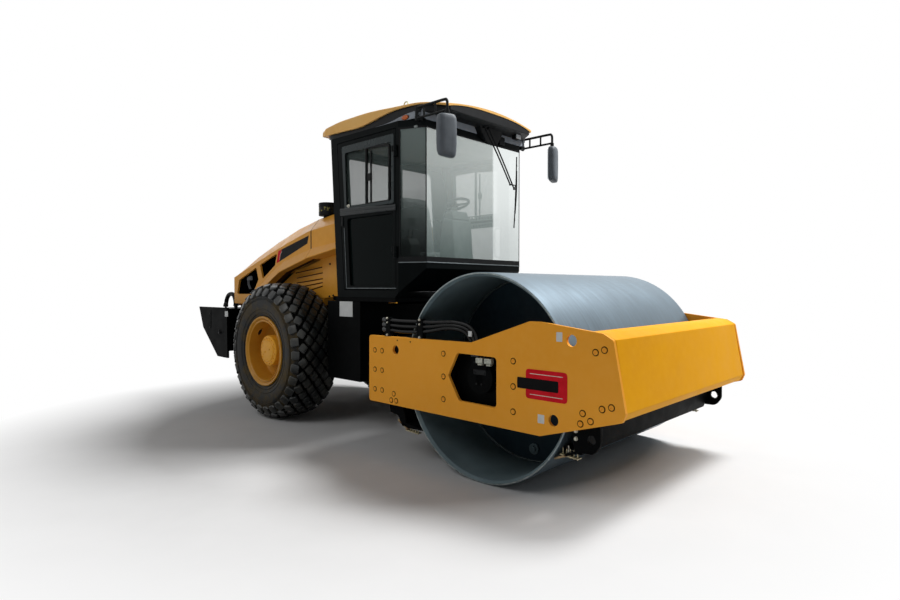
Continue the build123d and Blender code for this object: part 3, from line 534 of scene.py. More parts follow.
def finishPiece(name, part, body, looks, slot, bevel=0.0, smooth=35, segments=2):
    bmesh.ops.remove_doubles(part, verts=part.verts, dist=1e-6)
    bmesh.ops.recalc_face_normals(part, faces=part.faces)
    mesh = bpy.data.meshes.new(name)
    part.to_mesh(mesh)
    part.free()
    for look in [looks] if isinstance(looks, str) else looks:
        mesh.materials.append(finish[look])
    mesh.shade_smooth()
    mesh.set_sharp_from_angle(angle=math.radians(smooth))
    piece = bpy.data.objects.new(name, mesh)
    scene.collection.objects.link(piece)
    if bevel:
        bevelEdges(piece, bevel, segments, smooth)
    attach(piece, body)
    return piece


def bothSides(*makers):
    for make in makers:
        for sideName, side in sides.items():
            make(sideName, side)


# CAD plates and castings get their real broken edges
edgeSizes = {      # millimetres
    "side_plates": 3, "front_beam": 12, "rear_beam": 6, "scrapers": 3, "counterweight": 5, "side_tanks": 8,
    "cab_frame": 5, "door_right": 5, "door_left": 5, "roof_visor": 6, "hood": 9, "cowl": 9, "side_panels": 4,
    "deck": 3, "rear_rails": 3, "rear_crossmembers": 3, "centre_link": 4, "rear_axle": 4, "engine_block": 8,
    "drum_supports": 3, "drum_motors": 4, "hose_clamps": 2, "console": 12, "seat_base": 10, "precleaner": 5,
}
for nodeName, size in edgeSizes.items():
    join = nodes[nodeName].modifiers.new("join", "WELD")
    join.merge_threshold = 0.05 * mm
    bevelEdges(nodes[nodeName], size, 3, 25)
    even = nodes[nodeName].modifiers.new("even", "WEIGHTED_NORMAL")
    even.keep_sharp = False
print("stage: CAD edges")

# ---- Tyres, rims and hubs

tyreShape = {
    # distance from the tyre's middle and radius, from the crown out to the bead
    "carcass": [(0, 708), (80, 706), (150, 699), (196, 684), (228, 660), (250, 626), (263, 580), (267, 530),
                (262, 470), (249, 408), (236, 376), (216, 352), (206, 342), (200, 327)],
    "wall": 14,
    "pitch": 30,              # blocks round each row
    "rows": 3,                # rows of diamonds each side of the middle one
    "rowStep": 64,            # millimetres across the tread
    "grooveFrom": 668,
    "ribs": [(412, 5), (455, 3), (560, 6), (572, 4)],     # radius and height of each ring on the sidewall
    "halfRound": 55, "halfAcross": 42, "cut": 0.15, "height": 28, "shoulderHeight": 18, "shoulderOut": 6,
    # the shoulder lug: share of the half round, distance out
    "lug": [(0.75, -38), (0.9, 30), (0.55, 52), (-0.55, 52), (-0.9, 30), (-0.75, -38)],
}


def wheelCentre(side):
    return Vector((axleMid.x, side * (tyreHigh.y - tyreLow.y) / 2 + side * -tyreHigh.y, axleMid.z))


def carcassLine():
    line = smoothPath([Vector((y, r, 0)) * mm for y, r in tyreShape["carcass"]], 5)
    return [p.xy for p in line]


def onCarcass(line, across):
    # the point on the carcass at a distance across from the crown, and the way out of it
    sign, left = (1 if across >= 0 else -1), abs(across)
    for first, second in zip(line, line[1:]):
        step = (second - first).length
        if left <= step or second is line[-1]:
            point = first.lerp(second, left / step)
            along = (second - first).normalized()
            return Vector((sign * point.x, point.y)), Vector((sign * -along.y, along.x))
        left -= step


def addBlock(part, line, centre, angle, across, outline, height):
    # one tread block: an outline of (round, across) offsets, drawn in towards its top
    rings = []
    for lift, inset in ((-3, 1.06), (4, 1.0), (height * 0.8, 0.95), (height - 1, 0.9), (height, 0.8)):
        ring = []
        for around, side in outline:
            point, out = onCarcass(line, (across + side * inset) * mm)
            spot = point + out * lift * mm
            turn = angle + around * inset * mm / spot.y
            ring.append((centre.x + spot.y * math.cos(turn), centre.y + spot.x,
                         centre.z + spot.y * math.sin(turn)))
        rings.append(ring)
    addLoft(part, rings)


def makeTyre(sideName, side):
    shape = tyreShape
    centre = wheelCentre(side)
    line = carcassLine()
    part = bmesh.new()
    profile = [(p.y, p.x) for p in reversed(line)] + [(p.y, -p.x) for p in line[1:]]
    inner = [(r - shape["wall"] * mm, y) for r, y in (profile[-1], profile[0])]
    addTurned(part, centre, profile + inner, 160)
    # the carcass in the tread band takes the groove finish: painted shade between the blocks
    for face in part.faces:
        middle = face.calc_center_median() - centre
        face.material_index = 1 if math.hypot(middle.x, middle.z) > shape["grooveFrom"] * mm else 2
    for radius, height in shape["ribs"]:
        flank = next(a.x + (b.x - a.x) * (radius * mm - a.y) / (b.y - a.y) for a, b in zip(line, line[1:])
                     if b.y <= radius * mm <= a.y)
        for way in (-1, 1):
            ridge = [((radius + r) * mm, way * (flank + out * mm))
                     for r, out in ((7, -3), (3, height), (-3, height), (-7, -3))]
            addTurned(part, centre, ridge, 120, 2)
    halfRound, halfAcross, cut = shape["halfRound"], shape["halfAcross"], shape["cut"]
    quarter = [(halfRound, -halfAcross * cut), (halfRound, halfAcross * cut), (halfRound * cut, halfAcross),
               (-halfRound * cut, halfAcross)]
    diamond = quarter + [(-a, -b) for a, b in quarter]
    # each row of blocks: distance across, share of a step that it is turned by, outline and height
    rows = [(row * shape["rowStep"], (row % 2) / 2, diamond, shape["height"])
            for row in range(-shape["rows"], shape["rows"] + 1)]
    last = shape["rows"] + 1
    for way in (-1, 1):
        lug = [(a * halfRound, way * b) for a, b in shape["lug"]]
        rows.append((way * (last * shape["rowStep"] + shape["shoulderOut"]), (last % 2) / 2, lug,
                     shape["shoulderHeight"]))
    for across, shift, outline, height in rows:
        for step in range(shape["pitch"]):
            angle = 2 * math.pi * (step + shift) / shape["pitch"]
            addBlock(part, line, centre, angle, across, outline, height)
    looks = ["tyre", "grooveShade", "sidewall"]
    piece = finishPiece("treadTyre_" + sideName, part, "wheel_" + sideName, looks, "tyre_rubber", smooth=40)
    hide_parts("tyre_" + sideName)


rimShape = {
    # radius and distance out from the tyre's middle: lip, gutter, well, dished disc
    "section": [(340, 226), (372, 231), (376, 240), (375, 250), (368, 256), (357, 254), (347, 244),
                (339, 234), (333, 233), (331, 241), (322, 243), (316, 236), (312, 204), (309, 120),
                (306, 70), (294, 52), (274, 44), (200, 44), (150, 44), (150, 20), (200, 20), (280, 20),
                (300, 6), (300, -220), (362, -226), (362, -240), (356, -246), (308, -240), (308, -200),
                (325, -200), (325, 200)],
    "disc": 44,
    "holeAngle": 141, "holeRadius": 306, "holeWide": 52, "holeHigh": 24, "holeOut": 150,
    "nuts": 12, "nutRing": 172, "nutSize": 27,
    "stems": ((52, 262), (-38, 258)),      # angle and radius
}


def makeRim(sideName, side):
    shape = rimShape
    body = "wheel_" + sideName
    centre = wheelCentre(side)
    part = bmesh.new()
    addTurned(part, centre, [(r * mm, side * y * mm) for r, y in shape["section"]], 144)
    for spot in roundAbout(centre, shape["nutRing"] * mm, shape["nuts"], y=side * shape["disc"] * mm):
        addBolt(part, spot, (0, side, 0), shape["nutSize"] * mm)
    # the valve's hand hole in the rim's barrel, with its rolled collar
    collar, ways = [], []
    for step in range(24):
        turn = 2 * math.pi * step / 24
        angle = math.radians(shape["holeAngle"]) + shape["holeWide"] / shape["holeRadius"] * math.cos(turn)
        out = side * (shape["holeOut"] + shape["holeHigh"] * math.sin(turn)) * mm
        ways.append(Vector((math.cos(angle), 0, math.sin(angle))))
        collar.append(centre + ways[-1] * shape["holeRadius"] * mm + Vector((0, out, 0)))
    addTube(part, collar + collar[:2], 6 * mm, 8)
    piece = finishPiece("wheelRim_" + sideName, part, body, "rimOchre", "ochre_enamel", smooth=28)
    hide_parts("rim_" + sideName)
    # the hole's opening is a dark disc: painted shade inside the hole
    dark = bmesh.new()
    addLoft(dark, [[p + way * lift * mm for p, way in zip(collar, ways)] for lift in (-1, 4)])
    finishPiece("handHole_" + sideName, dark, body, "seal", "buffer_rubber")
    stem = bmesh.new()
    for around, ring in shape["stems"]:
        angle = math.radians(around)
        foot = centre + Vector((math.cos(angle) * ring, side * shape["disc"], math.sin(angle) * ring)) * mm
        out = Vector((0, side * mm, 0))
        addRod(stem, foot, foot + out * 52, 5 * mm, 12)
        addRod(stem, foot + out * 30, foot + out * 58, 8 * mm, 12)
        addBox(stem, foot - Vector((16, 0, 9)) * mm, foot + Vector((16, side * 12, 9)) * mm)
    finishPiece("valveStems_" + sideName, stem, body, "iron", "cast_iron", bevel=1)


hubShape = {
    "profile": [(0, -150), (149, -150), (149, -10), (192, -10), (195, -6), (195, 16), (192, 20), (152, 20),
                (150, 24), (150, 76), (163, 86), (165, 176), (162, 184), (155, 188), (122, 190), (118, 195),
                (113, 199), (60, 202), (0, 202)],
    # rings of bolts: how many, radius, distance out, size
    "bolts": ((6, 92, 199, 9), (16, 138, 189, 12)),
    "plugs": (200, 20), "plugRing": 46,
}


def makeHub(sideName, side):
    centre = wheelCentre(side)
    part = bmesh.new()
    addTurned(part, centre, [(r * mm, side * y * mm) for r, y in hubShape["profile"]], closed=False)
    for count, ring, out, size in hubShape["bolts"]:
        for spot in roundAbout(centre, ring * mm, count, 0.5, side * out * mm):
            addBolt(part, spot, (0, side, 0), size * mm, washer=False)
    for angle in hubShape["plugs"]:
        way = Vector((math.cos(math.radians(angle)), 0, math.sin(math.radians(angle))))
        spot = centre + (way * hubShape["plugRing"] + Vector((0, side * 201, 0))) * mm
        addRod(part, spot, spot + Vector((0, side * 7 * mm, 0)), 11 * mm)
    piece = finishPiece("planetHub_" + sideName, part, "wheel_" + sideName, "wheelOchre", "ochre_enamel",
                        smooth=30)
    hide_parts("hub_" + sideName)


bothSides(makeTyre, makeRim, makeHub)
print("stage: wheels")

# ---- Drum

drumShape = {
    "wall": 28, "chamfer": 3, "lip": 11, "innerBevel": 22,
    "headFace": 455, "weldRadius": 728, "weldBead": 9, "weldSteps": 220,
    "plugRadius": 632, "plugAngle": -85, "plugSize": 26, "flangeBolts": 16, "flangeRing": 165,
}


def makeDrum():
    shape = drumShape
    radius = (drumHigh.x - drumLow.x) / 2
    half = (drumHigh.y - drumLow.y) / 2
    chamfer, inner, lip = shape["chamfer"] * mm, radius - shape["wall"] * mm, radius - shape["lip"] * mm
    centre = Vector((drumMid.x, 0, drumMid.z))
    bevelled = half - shape["innerBevel"] * mm
    part = bmesh.new()
    # the rolled face, the two cut rims and the inside, each with its own finish
    for look, profile in (
            (0, [(radius - chamfer, -half), (radius, -half + chamfer), (radius, half - chamfer),
                 (radius - chamfer, half)]),
            (1, [(radius - chamfer, -half), (lip, -half)]),
            (1, [(radius - chamfer, half), (lip, half)]),
            (2, [(lip, -half), (inner, -bevelled), (inner, bevelled), (lip, half)])):
        addTurned(part, centre, profile, 256, look, closed=False)
    piece = finishPiece("rollDrum", part, "drum", ["drum", "edge", "primer"], "drum_steel", smooth=30)
    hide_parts("drum_shell")
    # the fillet weld round each head is a little uneven, as a hand weld is
    weld, fittings = bmesh.new(), bmesh.new()
    for side in (-1, 1):
        path = []
        for step in range(shape["weldSteps"] + 1):
            angle = 2 * math.pi * step / shape["weldSteps"]
            ripple = (shape["weldRadius"] + random.uniform(-2, 2)) * mm
            path.append(centre + Vector((ripple * math.cos(angle), side * (shape["headFace"] + 5) * mm,
                                         ripple * math.sin(angle))))
        path[-1] = path[0]
        addTube(weld, path, shape["weldBead"] * mm, 8)
    finishPiece("headWelds", weld, "drum", "weld", "drum_steel", smooth=60)
    angle = math.radians(shape["plugAngle"])
    for side in (-1, 1):
        out = Vector((0, side, 0))
        spot = centre + Vector((shape["plugRadius"] * math.cos(angle), side * shape["headFace"],
                                shape["plugRadius"] * math.sin(angle))) * mm
        addRod(fittings, spot, spot + out * 14 * mm, (shape["plugSize"] + 18) * mm, 32)
        addRod(fittings, spot, spot + out * 30 * mm, shape["plugSize"] * mm, 6)
        for spot in roundAbout(centre, shape["flangeRing"] * mm, shape["flangeBolts"],
                               y=side * shape["headFace"] * mm):
            addBolt(fittings, spot, out, 24 * mm)
    finishPiece("headFittings", fittings, "drum", "primer", "drum_steel", bevel=1.5)


finish["edge"] = barMetal("rubbedSteelEdge", "#6E7878", "#98A09E", 0.42, 0.6, 25)
finish["weld"] = barMetal("weldBead", "#2E3838", "#5E6A6A", 0.55, 0.4, 9)
makeDrum()
print("stage: drum")

# ---- Drum frame

frameShape = {
    # places from the drum's axis, the same on both side plates
    "bolts": [(-1139, 124), (-1139, -41), (-1139, -209), (-1046, 124), (-1046, -41), (-1046, -209),
              (-898, -222), (-929, -279), (-869, -277), (-330, 154), (-330, -20), (-330, -193),
              (330, 154), (330, -20), (330, -193), (955, 260), (1015, 279), (868, -126), (852, -194),
              (923, -168), (1001, -82), (1063, -64)],
    "ring": 23,
    # a socket head, from its rim to its centre: radius and height
    "head": [(16, 0), (16, 3), (13, 5), (7, 5), (6, 1.5), (0, 1.5)],
    "smallHoles": [(-853, 223), (-697, 220)],
    "labels": [(674, 310, 719, 371), (533, -237, 584, -179)],
    # a plain red plate with one black bar across it and two thin lines, each (x, z, x, z), then
    # how far out it starts, its thickness, its finish and its corner radius
    "badge": [((436, -84, 758, 114), 0, 2.0, 0, 26), ((366, -22, 692, 52), 2.0, 1.6, 2, 10),
              ((470, -56, 724, -52), 2.0, 0.8, 1, 1.5), ((470, 82, 724, 86), 2.0, 0.8, 1, 1.5)],
}


def makeFrameBolts(sideName, side):
    heads, rings = bmesh.new(), bmesh.new()
    head = [(r * mm, side * y * mm) for r, y in frameShape["head"]]
    ring, rise = frameShape["ring"] * mm, side * 1.4 * mm
    for x, z in frameShape["bolts"]:
        spot = placed(atDrum, x, side * plateFace, z)
        addTurned(rings, spot, [(ring, 0), (ring - mm, rise), (head[0][0], rise), (head[0][0], 0)], 32)
        addTurned(heads, spot, head, 30, closed=False)
    for x, z in frameShape["smallHoles"]:
        spot = placed(atDrum, x, side * plateFace, z)
        addRod(rings, spot, spot + Vector((0, side * 0.8 * mm, 0)), 7 * mm, 20)
    finishPiece("plateBolts_" + sideName, heads, "drum_frame", "plateOchre", "ochre_enamel", smooth=40)
    finishPiece("boltRings_" + sideName, rings, "drum_frame", "grime", "frame_black", smooth=40)


def makeBadge(sideName, side):
    badge, labels = bmesh.new(), bmesh.new()
    for corners, out, wall, look, corner in frameShape["badge"]:
        outline = onSide(side, roundedBox(*corners, corner, 4), plateFace + out * mm, atDrum)
        addPrism(badge, outline, (0, side * wall * mm, 0), look)
    finishPiece("plateBadge_" + sideName, badge, "drum_frame", ["red", "zinc", "black"], "cab_plastic",
                smooth=20)
    for corners in frameShape["labels"]:
        addPrism(labels, onSide(side, roundedBox(*corners, 4, 3), plateFace, atDrum),
                 (0, side * 0.8 * mm, 0))
    finishPiece("plateLabels_" + sideName, labels, "drum_frame", "label", "cab_plastic", smooth=20)


# dark brown drawn in the rings round the plate bolts and in the louvre slots: painted shade in these gaps
finish["grime"] = mouldedPlastic("gapShadePaint", "#2A1806", "#43290E", 6, 0.7, 0.05)
bothSides(makeFrameBolts, makeBadge)

hoseShape = {
    "radius": 15, "heights": (385, 345, 305), "start": -1040, "end": -52, "spacing": 22, "out": 17,
    "gather": 352, "motorTop": 150,
    "collar": 21, "collarLength": 46, "nut": 19.55,
    # a blank paper tag, and the clamps' bolts
    "tag": ((-106, 12, 296), (-72, 18, 336)), "clamps": (-978, -591),
}


def atHose(x, out, z):
    return placed(atDrum, x, (hoseShape["out"] + out) * mm - plateFace, z)


def makeHoses():
    # three rubber hoses with crimped ends, which sag a little between their clamps
    shape = hoseShape
    rubber, ends, tag, bolts = bmesh.new(), bmesh.new(), bmesh.new(), bmesh.new()
    for row, height in enumerate(shape["heights"]):
        endX = shape["end"] + shape["spacing"] * (1 - row)
        near = shape["gather"] + (height - shape["gather"]) * 0.62
        sag = 3 + 3 * row
        path = [atHose(*p) for p in (
            (shape["start"], 0, height), (-975, 0, height), (-800, -1, height - sag), (-591, 0, height),
            (-470, 0, (height + near) / 2 + 6), (-340, 5, near + 20), (-230, 14, near + 22),
            (endX - 100 + 8 * row, 32, near + 2), (endX - 38, 37, near - 42), (endX - 8, 38, near - 104),
            (endX, 38, shape["motorTop"] + 50), (endX, 38, shape["motorTop"]))]
        addTube(rubber, smoothPath(path), shape["radius"] * mm, 14)
        for start, way in ((path[0], Vector((mm, 0, 0))), (path[-1], Vector((0, 0, mm)))):
            addRod(ends, start, start + way * shape["collarLength"], shape["collar"] * mm, 20)
            addRod(ends, start - way * 4, start + way * 16, shape["nut"] * mm, 6)
    piece = finishPiece("drumHoses", rubber, "drum_frame", "rubber", "buffer_rubber", smooth=60)
    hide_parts("hoses")
    finishPiece("hoseEnds", ends, "drum_frame", "hoseCollar", "cast_iron", bevel=1.5)
    addBox(tag, *[atHose(*p) for p in shape["tag"]])
    finishPiece("hoseTag", tag, "drum_frame", "label", "cab_plastic", bevel=1)
    low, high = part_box("hose_clamps")
    for x in shape["clamps"]:
        for z, size in ((low.z + 12 * mm, 15), (high.z - 8 * mm, 15), (drumMid.z + 365 * mm, 12)):
            addBolt(bolts, (atDrum(x, 0)[0], low.y, z), (0, -1, 0), size * mm)
    finishPiece("clampBolts", bolts, "drum_frame", "zinc", "chrome_rod", bevel=0.8)


finish["hoseCollar"] = barMetal("phosphatedSteel", "#26282A", "#4A4C4C", 0.5, 0.6)
makeHoses()

motorShape = {
    # a valve block on the motor's face: x, how far back and height, corner to corner
    "blocks": [((-62, -60, 20), (58, -6, 128)), ((-40, -50, -60), (30, -8, 30))],
    "ports": (-38, 0, 38), "portFoot": (-28, 128),
    "blockBolts": ((-46, 36), (42, 36), (-46, 112), (42, 112), (-28, -46), (20, -46)),
    "bolts": 8, "boltRing": 96, "boltsIn": 48,
    # two pale cast fittings under the window's upper edge
    "pale": [((x + dx, -4, z), (x + wide, out, high)) for x in (-6, 74)
             for dx, z, wide, out, high in ((0, 112, 62, 34, 150), (12, 96, 50, 26, 112))],
}


def makeMotorTrim(sideName, side):
    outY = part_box("drum_motors")[1].y
    block, unions, pale = bmesh.new(), bmesh.new(), bmesh.new()

    def onMotor(x, out, z):
        return placed(atDrum, x, side * (outY + out * mm), z)

    for part, boxes in ((block, motorShape["blocks"]), (pale, motorShape["pale"])):
        for low, high in boxes:
            addBox(part, onMotor(*low), onMotor(*high))
    out, z = motorShape["portFoot"]
    for x in motorShape["ports"]:
        for rise, radius, steps in ((20, 15, 6), (34, 10, 16)):
            addRod(unions, onMotor(x, out, z), onMotor(x, out, z + rise), radius * mm, steps)
    for x, z in motorShape["blockBolts"]:
        addBolt(unions, onMotor(x, -6, z), (0, side, 0), 11 * mm)
    ring, face = motorShape["boltRing"] * mm, plateFace - motorShape["boltsIn"] * mm
    for spot in roundAbout(Vector((drumMid.x, 0, drumMid.z)), ring, motorShape["bolts"], 0.5, side * face):
        addBolt(unions, spot, (0, side, 0), 13 * mm)
    finishPiece("motorBlock_" + sideName, block, "drum_frame", "iron", "cast_iron", bevel=5)
    finishPiece("motorUnions_" + sideName, unions, "drum_frame", "iron", "cast_iron", bevel=1)
    finishPiece("portBlocks_" + sideName, pale, "drum_frame", "paleCasting", "chrome_rod", bevel=4)


finish["paleCasting"] = barMetal("paleCasting", "#8C8E84", "#B4B5A8", 0.5, 0.4, 12)
bothSides(makeMotorTrim)

scraperShape = {      # millimetres from the drum's axis
    # each bar across the machine: its outline, and how far inside the lugs it ends
    "bars": [([(790, -141), (858, -141), (858, -330), (828, -408), (798, -408), (786, -330)], 0),
             ([(800, -384), (806, -404), (706, -440), (694, -428)], 14),
             ([(-1050, -268), (-900, -268), (-846, -400), (-826, -500), (-880, -500), (-930, -420),
               (-1030, -400)], 20),
             ([(-846, -470), (-846, -506), (-600, -503), (-604, -491)], 20)],
    # the worn edges of the front and rear blades
    "edges": [[(716, -424), (611, -468), (617, -480), (724, -438)],
              [(-930, -448), (-820, -504), (-812, -512), (-818, -522), (-934, -462)]],
    "lug": [(782, -141), (962, -141), (976, -200), (976, -316), (930, -384), (782, -384)],
    "lugHole": (914, -292), "holeRadius": 30, "lugRound": 62, "lugWall": 28, "tips": 1078,
    "lugBolts": ((806, -200), (806, -300), (806, -250)),
    # return springs at the blade's ends: x and height at one end, x at the other, which lies lower
    "springs": [(-843, -528, -690), (655, -440, 791)], "springFall": 10, "springY": (985, 1010, 45),
    "bladeBolts": 11,
}


def makeScraperTrim():
    shape = scraperShape
    inner = (shape["tips"] - shape["lugWall"]) * mm
    beams, bolts, edges, springs = bmesh.new(), bmesh.new(), bmesh.new(), bmesh.new()
    for outline, short in shape["bars"]:
        addBar(beams, [atDrum(*p) for p in outline], inner - short * mm)
    strapY, postY, strapWide = [y * mm for y in shape["springY"]]
    for side in (-1, 1):
        # the springs stand as posts on a pale strap
        for x0, z, x1 in shape["springs"]:
            start = placed(atDrum, x0, side * strapY, z)
            end = placed(atDrum, x1, side * strapY, z - shape["springFall"])
            rise = Vector((0, 0, 7 * mm))
            addPrism(springs, [start, end, end + rise, start + rise], (0, side * strapWide, 0))
            for step in range(5):
                foot = start.lerp(end, (step + 0.5) / 5) - Vector((0, 0, 10 * mm))
                foot.y = side * postY
                addRod(springs, foot, foot + Vector((0, 0, 56 * mm)), 4 * mm, 10)
        lug = rounded(shape["lug"], shape["lugRound"], 6)
        hole = Vector(shape["lugHole"])
        ring = [hole + (p - hole).normalized() * shape["holeRadius"] for p in lug]
        addFrame(beams, onSide(side, lug, inner, atDrum), onSide(side, ring, inner, atDrum),
                 (0, side * shape["lugWall"] * mm, 0))
        for x, z in shape["lugBolts"]:
            addBolt(bolts, placed(atDrum, x, side * shape["tips"] * mm, z), (0, side, 0), 20 * mm)
        # the adjusting screws that set the blade's gap
        for short in (70, 150):
            foot = placed(atDrum, 700, side * (inner - short * mm), -424)
            addRod(bolts, foot, foot + Vector((-10, 0, 40)) * mm, 7 * mm, 12)
            addRod(bolts, foot, foot + Vector((-4, 0, 16)) * mm, 14 * mm, 6)
    half = inner - 20 * mm
    for outline in shape["edges"]:
        addBar(edges, [atDrum(*p) for p in outline], half)
    count = shape["bladeBolts"]
    for step in range(count):
        y = (half - 50 * mm) * (2 * step / (count - 1) - 1)
        addBolt(bolts, placed(atDrum, 714, y, -432), (-0.35, 0, 1), 15 * mm)
        addBolt(bolts, placed(atDrum, -900, y, -480), (-0.45, 0, -1), 15 * mm)
    piece = finishPiece("scraperBeams", beams, "drum_frame", "frame", "frame_black", bevel=3)
    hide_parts("scrapers")
    finishPiece("scraperBolts", bolts, "drum_frame", "zinc", "chrome_rod", bevel=1)
    finishPiece("scraperBlades", edges, "drum_frame", "worn", "drum_steel", bevel=1)
    finishPiece("scraperSprings", springs, "drum_frame", "spring", "chrome_rod", smooth=50)


finish["worn"] = barMetal("wornBladeEdge", "#6B4A2C", "#C8B48A", 0.55, 0.35, 40)
finish["spring"] = barMetal("zincWire", "#8E8468", "#C8BE9C", 0.45, 0.5, 20)
makeScraperTrim()
print("stage: drum frame")

# ---- Cab glass and trim

cabShape = {
    "half": 800, "cornerX": -240, "frontHalf": 683, "glassLow": 364, "glassHigh": 1504, "top": 1575,
    "rearHalf": 620, "rearLow": 570, "rearHigh": 1430, "rearX": -1145, "rearLean": 103 / 1575,
    "sillLow": -50, "sealLow": -42,      # under the glass
}


def cornerSpot(share, inset, height, side):
    # along the slanting corner, from the door post to the windshield
    normal = Vector((cabShape["half"] - cabShape["frontHalf"], -cabShape["cornerX"])).normalized()
    x = cabShape["cornerX"] * (1 - share) - normal.x * inset
    y = cabShape["half"] + (cabShape["frontHalf"] - cabShape["half"]) * share - normal.y * inset
    return inCab(x, side * y, height)


def addCornerStrip(part, side, start, end, low, high, out, back):
    # a strip on the slanting corner, from out to back behind its face
    addPrism(part, [cornerSpot(start, out, low, side), cornerSpot(end, out, low, side),
                    cornerSpot(end, out, high, side), cornerSpot(start, out, high, side)],
             cornerSpot(0, back, 0, side) - cornerSpot(0, out, 0, side))


def rearOutline(grow, shift):
    # the rear window's outline, grown all round, on the leaning back of the cab
    half, low, high = cabShape["rearHalf"], cabShape["rearLow"], cabShape["rearHigh"]
    corners = roundedBox(-half - grow, low - grow, half + grow, high + grow, 60, 6)
    return [inCab(cabShape["rearX"] - cabShape["rearLean"] * z + shift, y, z) for y, z in corners]


def gradedGlass(name, low, high, clear, span, mirror=0.2):
    # float glass: its film colour grows paler the higher it stands, a painted sky reflection over the hard
    # reflection; a dark low colour is painted shade inside the cab
    material, tree, shader, place = startMaterial(name, {"IOR": 1.5, "Alpha": 1 - clear,
                                                         "Specular IOR Level": mirror})
    height = addNode(tree, "ShaderNodeSeparateXYZ", {0: place}).outputs["Z"]
    smears = addNode(tree, "ShaderNodeMath", {"operation": "MULTIPLY_ADD", 1: 0.12, 2: -0.06,
                                              0: noiseAt(tree, place, 350, 5)}).outputs[0]
    share = ramp(tree, combine(tree, "ADD", height, smears), *span)
    dress(tree, shader, blendColours(tree, share, low, high),
          ramp(tree, noiseAt(tree, place, 200, 5), 0.4, 0.8, 0.03, 0.1))
    return material


def firstNode(material, kind):
    return next(n for n in material.node_tree.nodes if n.type == kind)


def alongPane(material, socket, axis, span, values, steps=()):
    # a setting of the pane that changes with place: along one axis, with further steps added to it
    tree = material.node_tree
    apart = firstNode(material, "SEPXYZ").outputs
    value = ramp(tree, apart[axis], *span, *values)
    for otherAxis, reach, extra in steps:
        step = ramp(tree, apart[otherAxis], *reach, 0, extra)
        value = addNode(tree, "ShaderNodeMath", {"operation": "ADD", "use_clamp": True, 0: value,
                                                 1: step}).outputs[0]
    tree.links.new(value, firstNode(material, "BSDF_PRINCIPLED").inputs[socket])


glassFoot = cabFloor + cabShape["glassLow"] * mm
railHeight = cabFloor + 0.81
overGlass = (glassFoot, glassFoot + 1.0)
atRail = (railHeight - 0.02, railHeight + 0.02)
# the panes' colours are painted light: pale high up for the sky's reflection, dark low down for the shade
# inside the cab
finish["windshield"] = gradedGlass("laminatedGlass", "#7C8E89", "#EAF2EF", 0.46,
                                   (glassFoot - 0.05, glassFoot + 1.0))
finish["cornerGlass"] = gradedGlass("temperedGlass", "#0E1716", "#8E9C99", 0.42,
                                    (glassFoot + 0.1, glassFoot + 1.1), 0.06)
finish["doorGlass"] = gradedGlass("slidingGlass", "#0A1212", "#56615F", 0.66, atRail, 0.03)
finish["rearGlass"] = gradedGlass("rearGlass", "#6A7573", "#707D7A", 0.5, overGlass)
finish["clearGlass"] = gradedGlass("clearFace", "#9FB0AA", "#A8B6B1", 0.96, overGlass)
# the left door's lower pane has no film
finish["clearDoor"] = gradedGlass("plainGlass", "#5A6664", "#66716E", 0.62,
                                  (railHeight - 0.1, railHeight + 0.1), 0.05)
finishNodes({"doorGlass": ["door_glass_right"], "clearDoor": ["door_glass_left"],
             "windshield": ["cab_glass"]})

# the windshield mirrors more of the sky higher up and on its far side, where its film is also painted paler:
# a painted highlight
farSide = ("Y", (0.235, 0.26))
alongPane(finish["windshield"], "Metallic", "Z", (glassFoot + 0.1, glassFoot + 1.0), (0.04, 0.6),
          (("Y", (-0.5, 0.235), 0.26), (*farSide, 0.4)))
alongPane(finish["windshield"], "Alpha", "Z", overGlass, (0.46, 0.58), ((*farSide, 0.33),))
paleTree = finish["windshield"].node_tree
paintedGlareShare = ramp(paleTree, firstNode(finish["windshield"], "SEPXYZ").outputs["Y"], *farSide[1], 0, 0.8)
windshieldColour = firstNode(finish["windshield"], "BSDF_PRINCIPLED").inputs["Base Color"]
paleTree.links.new(blendColours(paleTree, paintedGlareShare, windshieldColour.links[0].from_socket, "#F6FBFA"), windshieldColour)
alongPane(finish["cornerGlass"], "Alpha", "Z", (glassFoot + 0.3, glassFoot + 0.62), (0.88, 0.6))
alongPane(finish["doorGlass"], "Alpha", "Z", atRail, (0.95, 0.34))


def paneOf(name, part, look, out):
    # the film lies on the pane's outer face only
    bmesh.ops.recalc_face_normals(part, faces=part.faces)
    for face in part.faces:
        face.material_index = 0 if face.normal.x * out > 0.25 else 1
    return finishPiece(name, part, "rear_frame", [look, "clearGlass"], "pane_glass")


def makePanes():
    low, high = cabShape["glassLow"], cabShape["glassHigh"]
    front, corners, rear = bmesh.new(), bmesh.new(), bmesh.new()
    halfPane = cabShape["frontHalf"] - 5
    addPrism(front, [inCab(-3, y, z) for y, z in roundedBox(-halfPane, low, halfPane, high, 18, 4)],
             (-6 * mm, 0, 0))
    for side in (-1, 1):
        addCornerStrip(corners, side, 0.05, 0.975, low, high, 3, 9)
    addPrism(rear, rearOutline(-12, 14), (6 * mm, 0, 0))
    piece = paneOf("windshieldPane", front, "windshield", 1)
    paneOf("cornerPanes", corners, "cornerGlass", 1)
    paneOf("rearPane", rear, "rearGlass", -1)
    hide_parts("cab_glass")


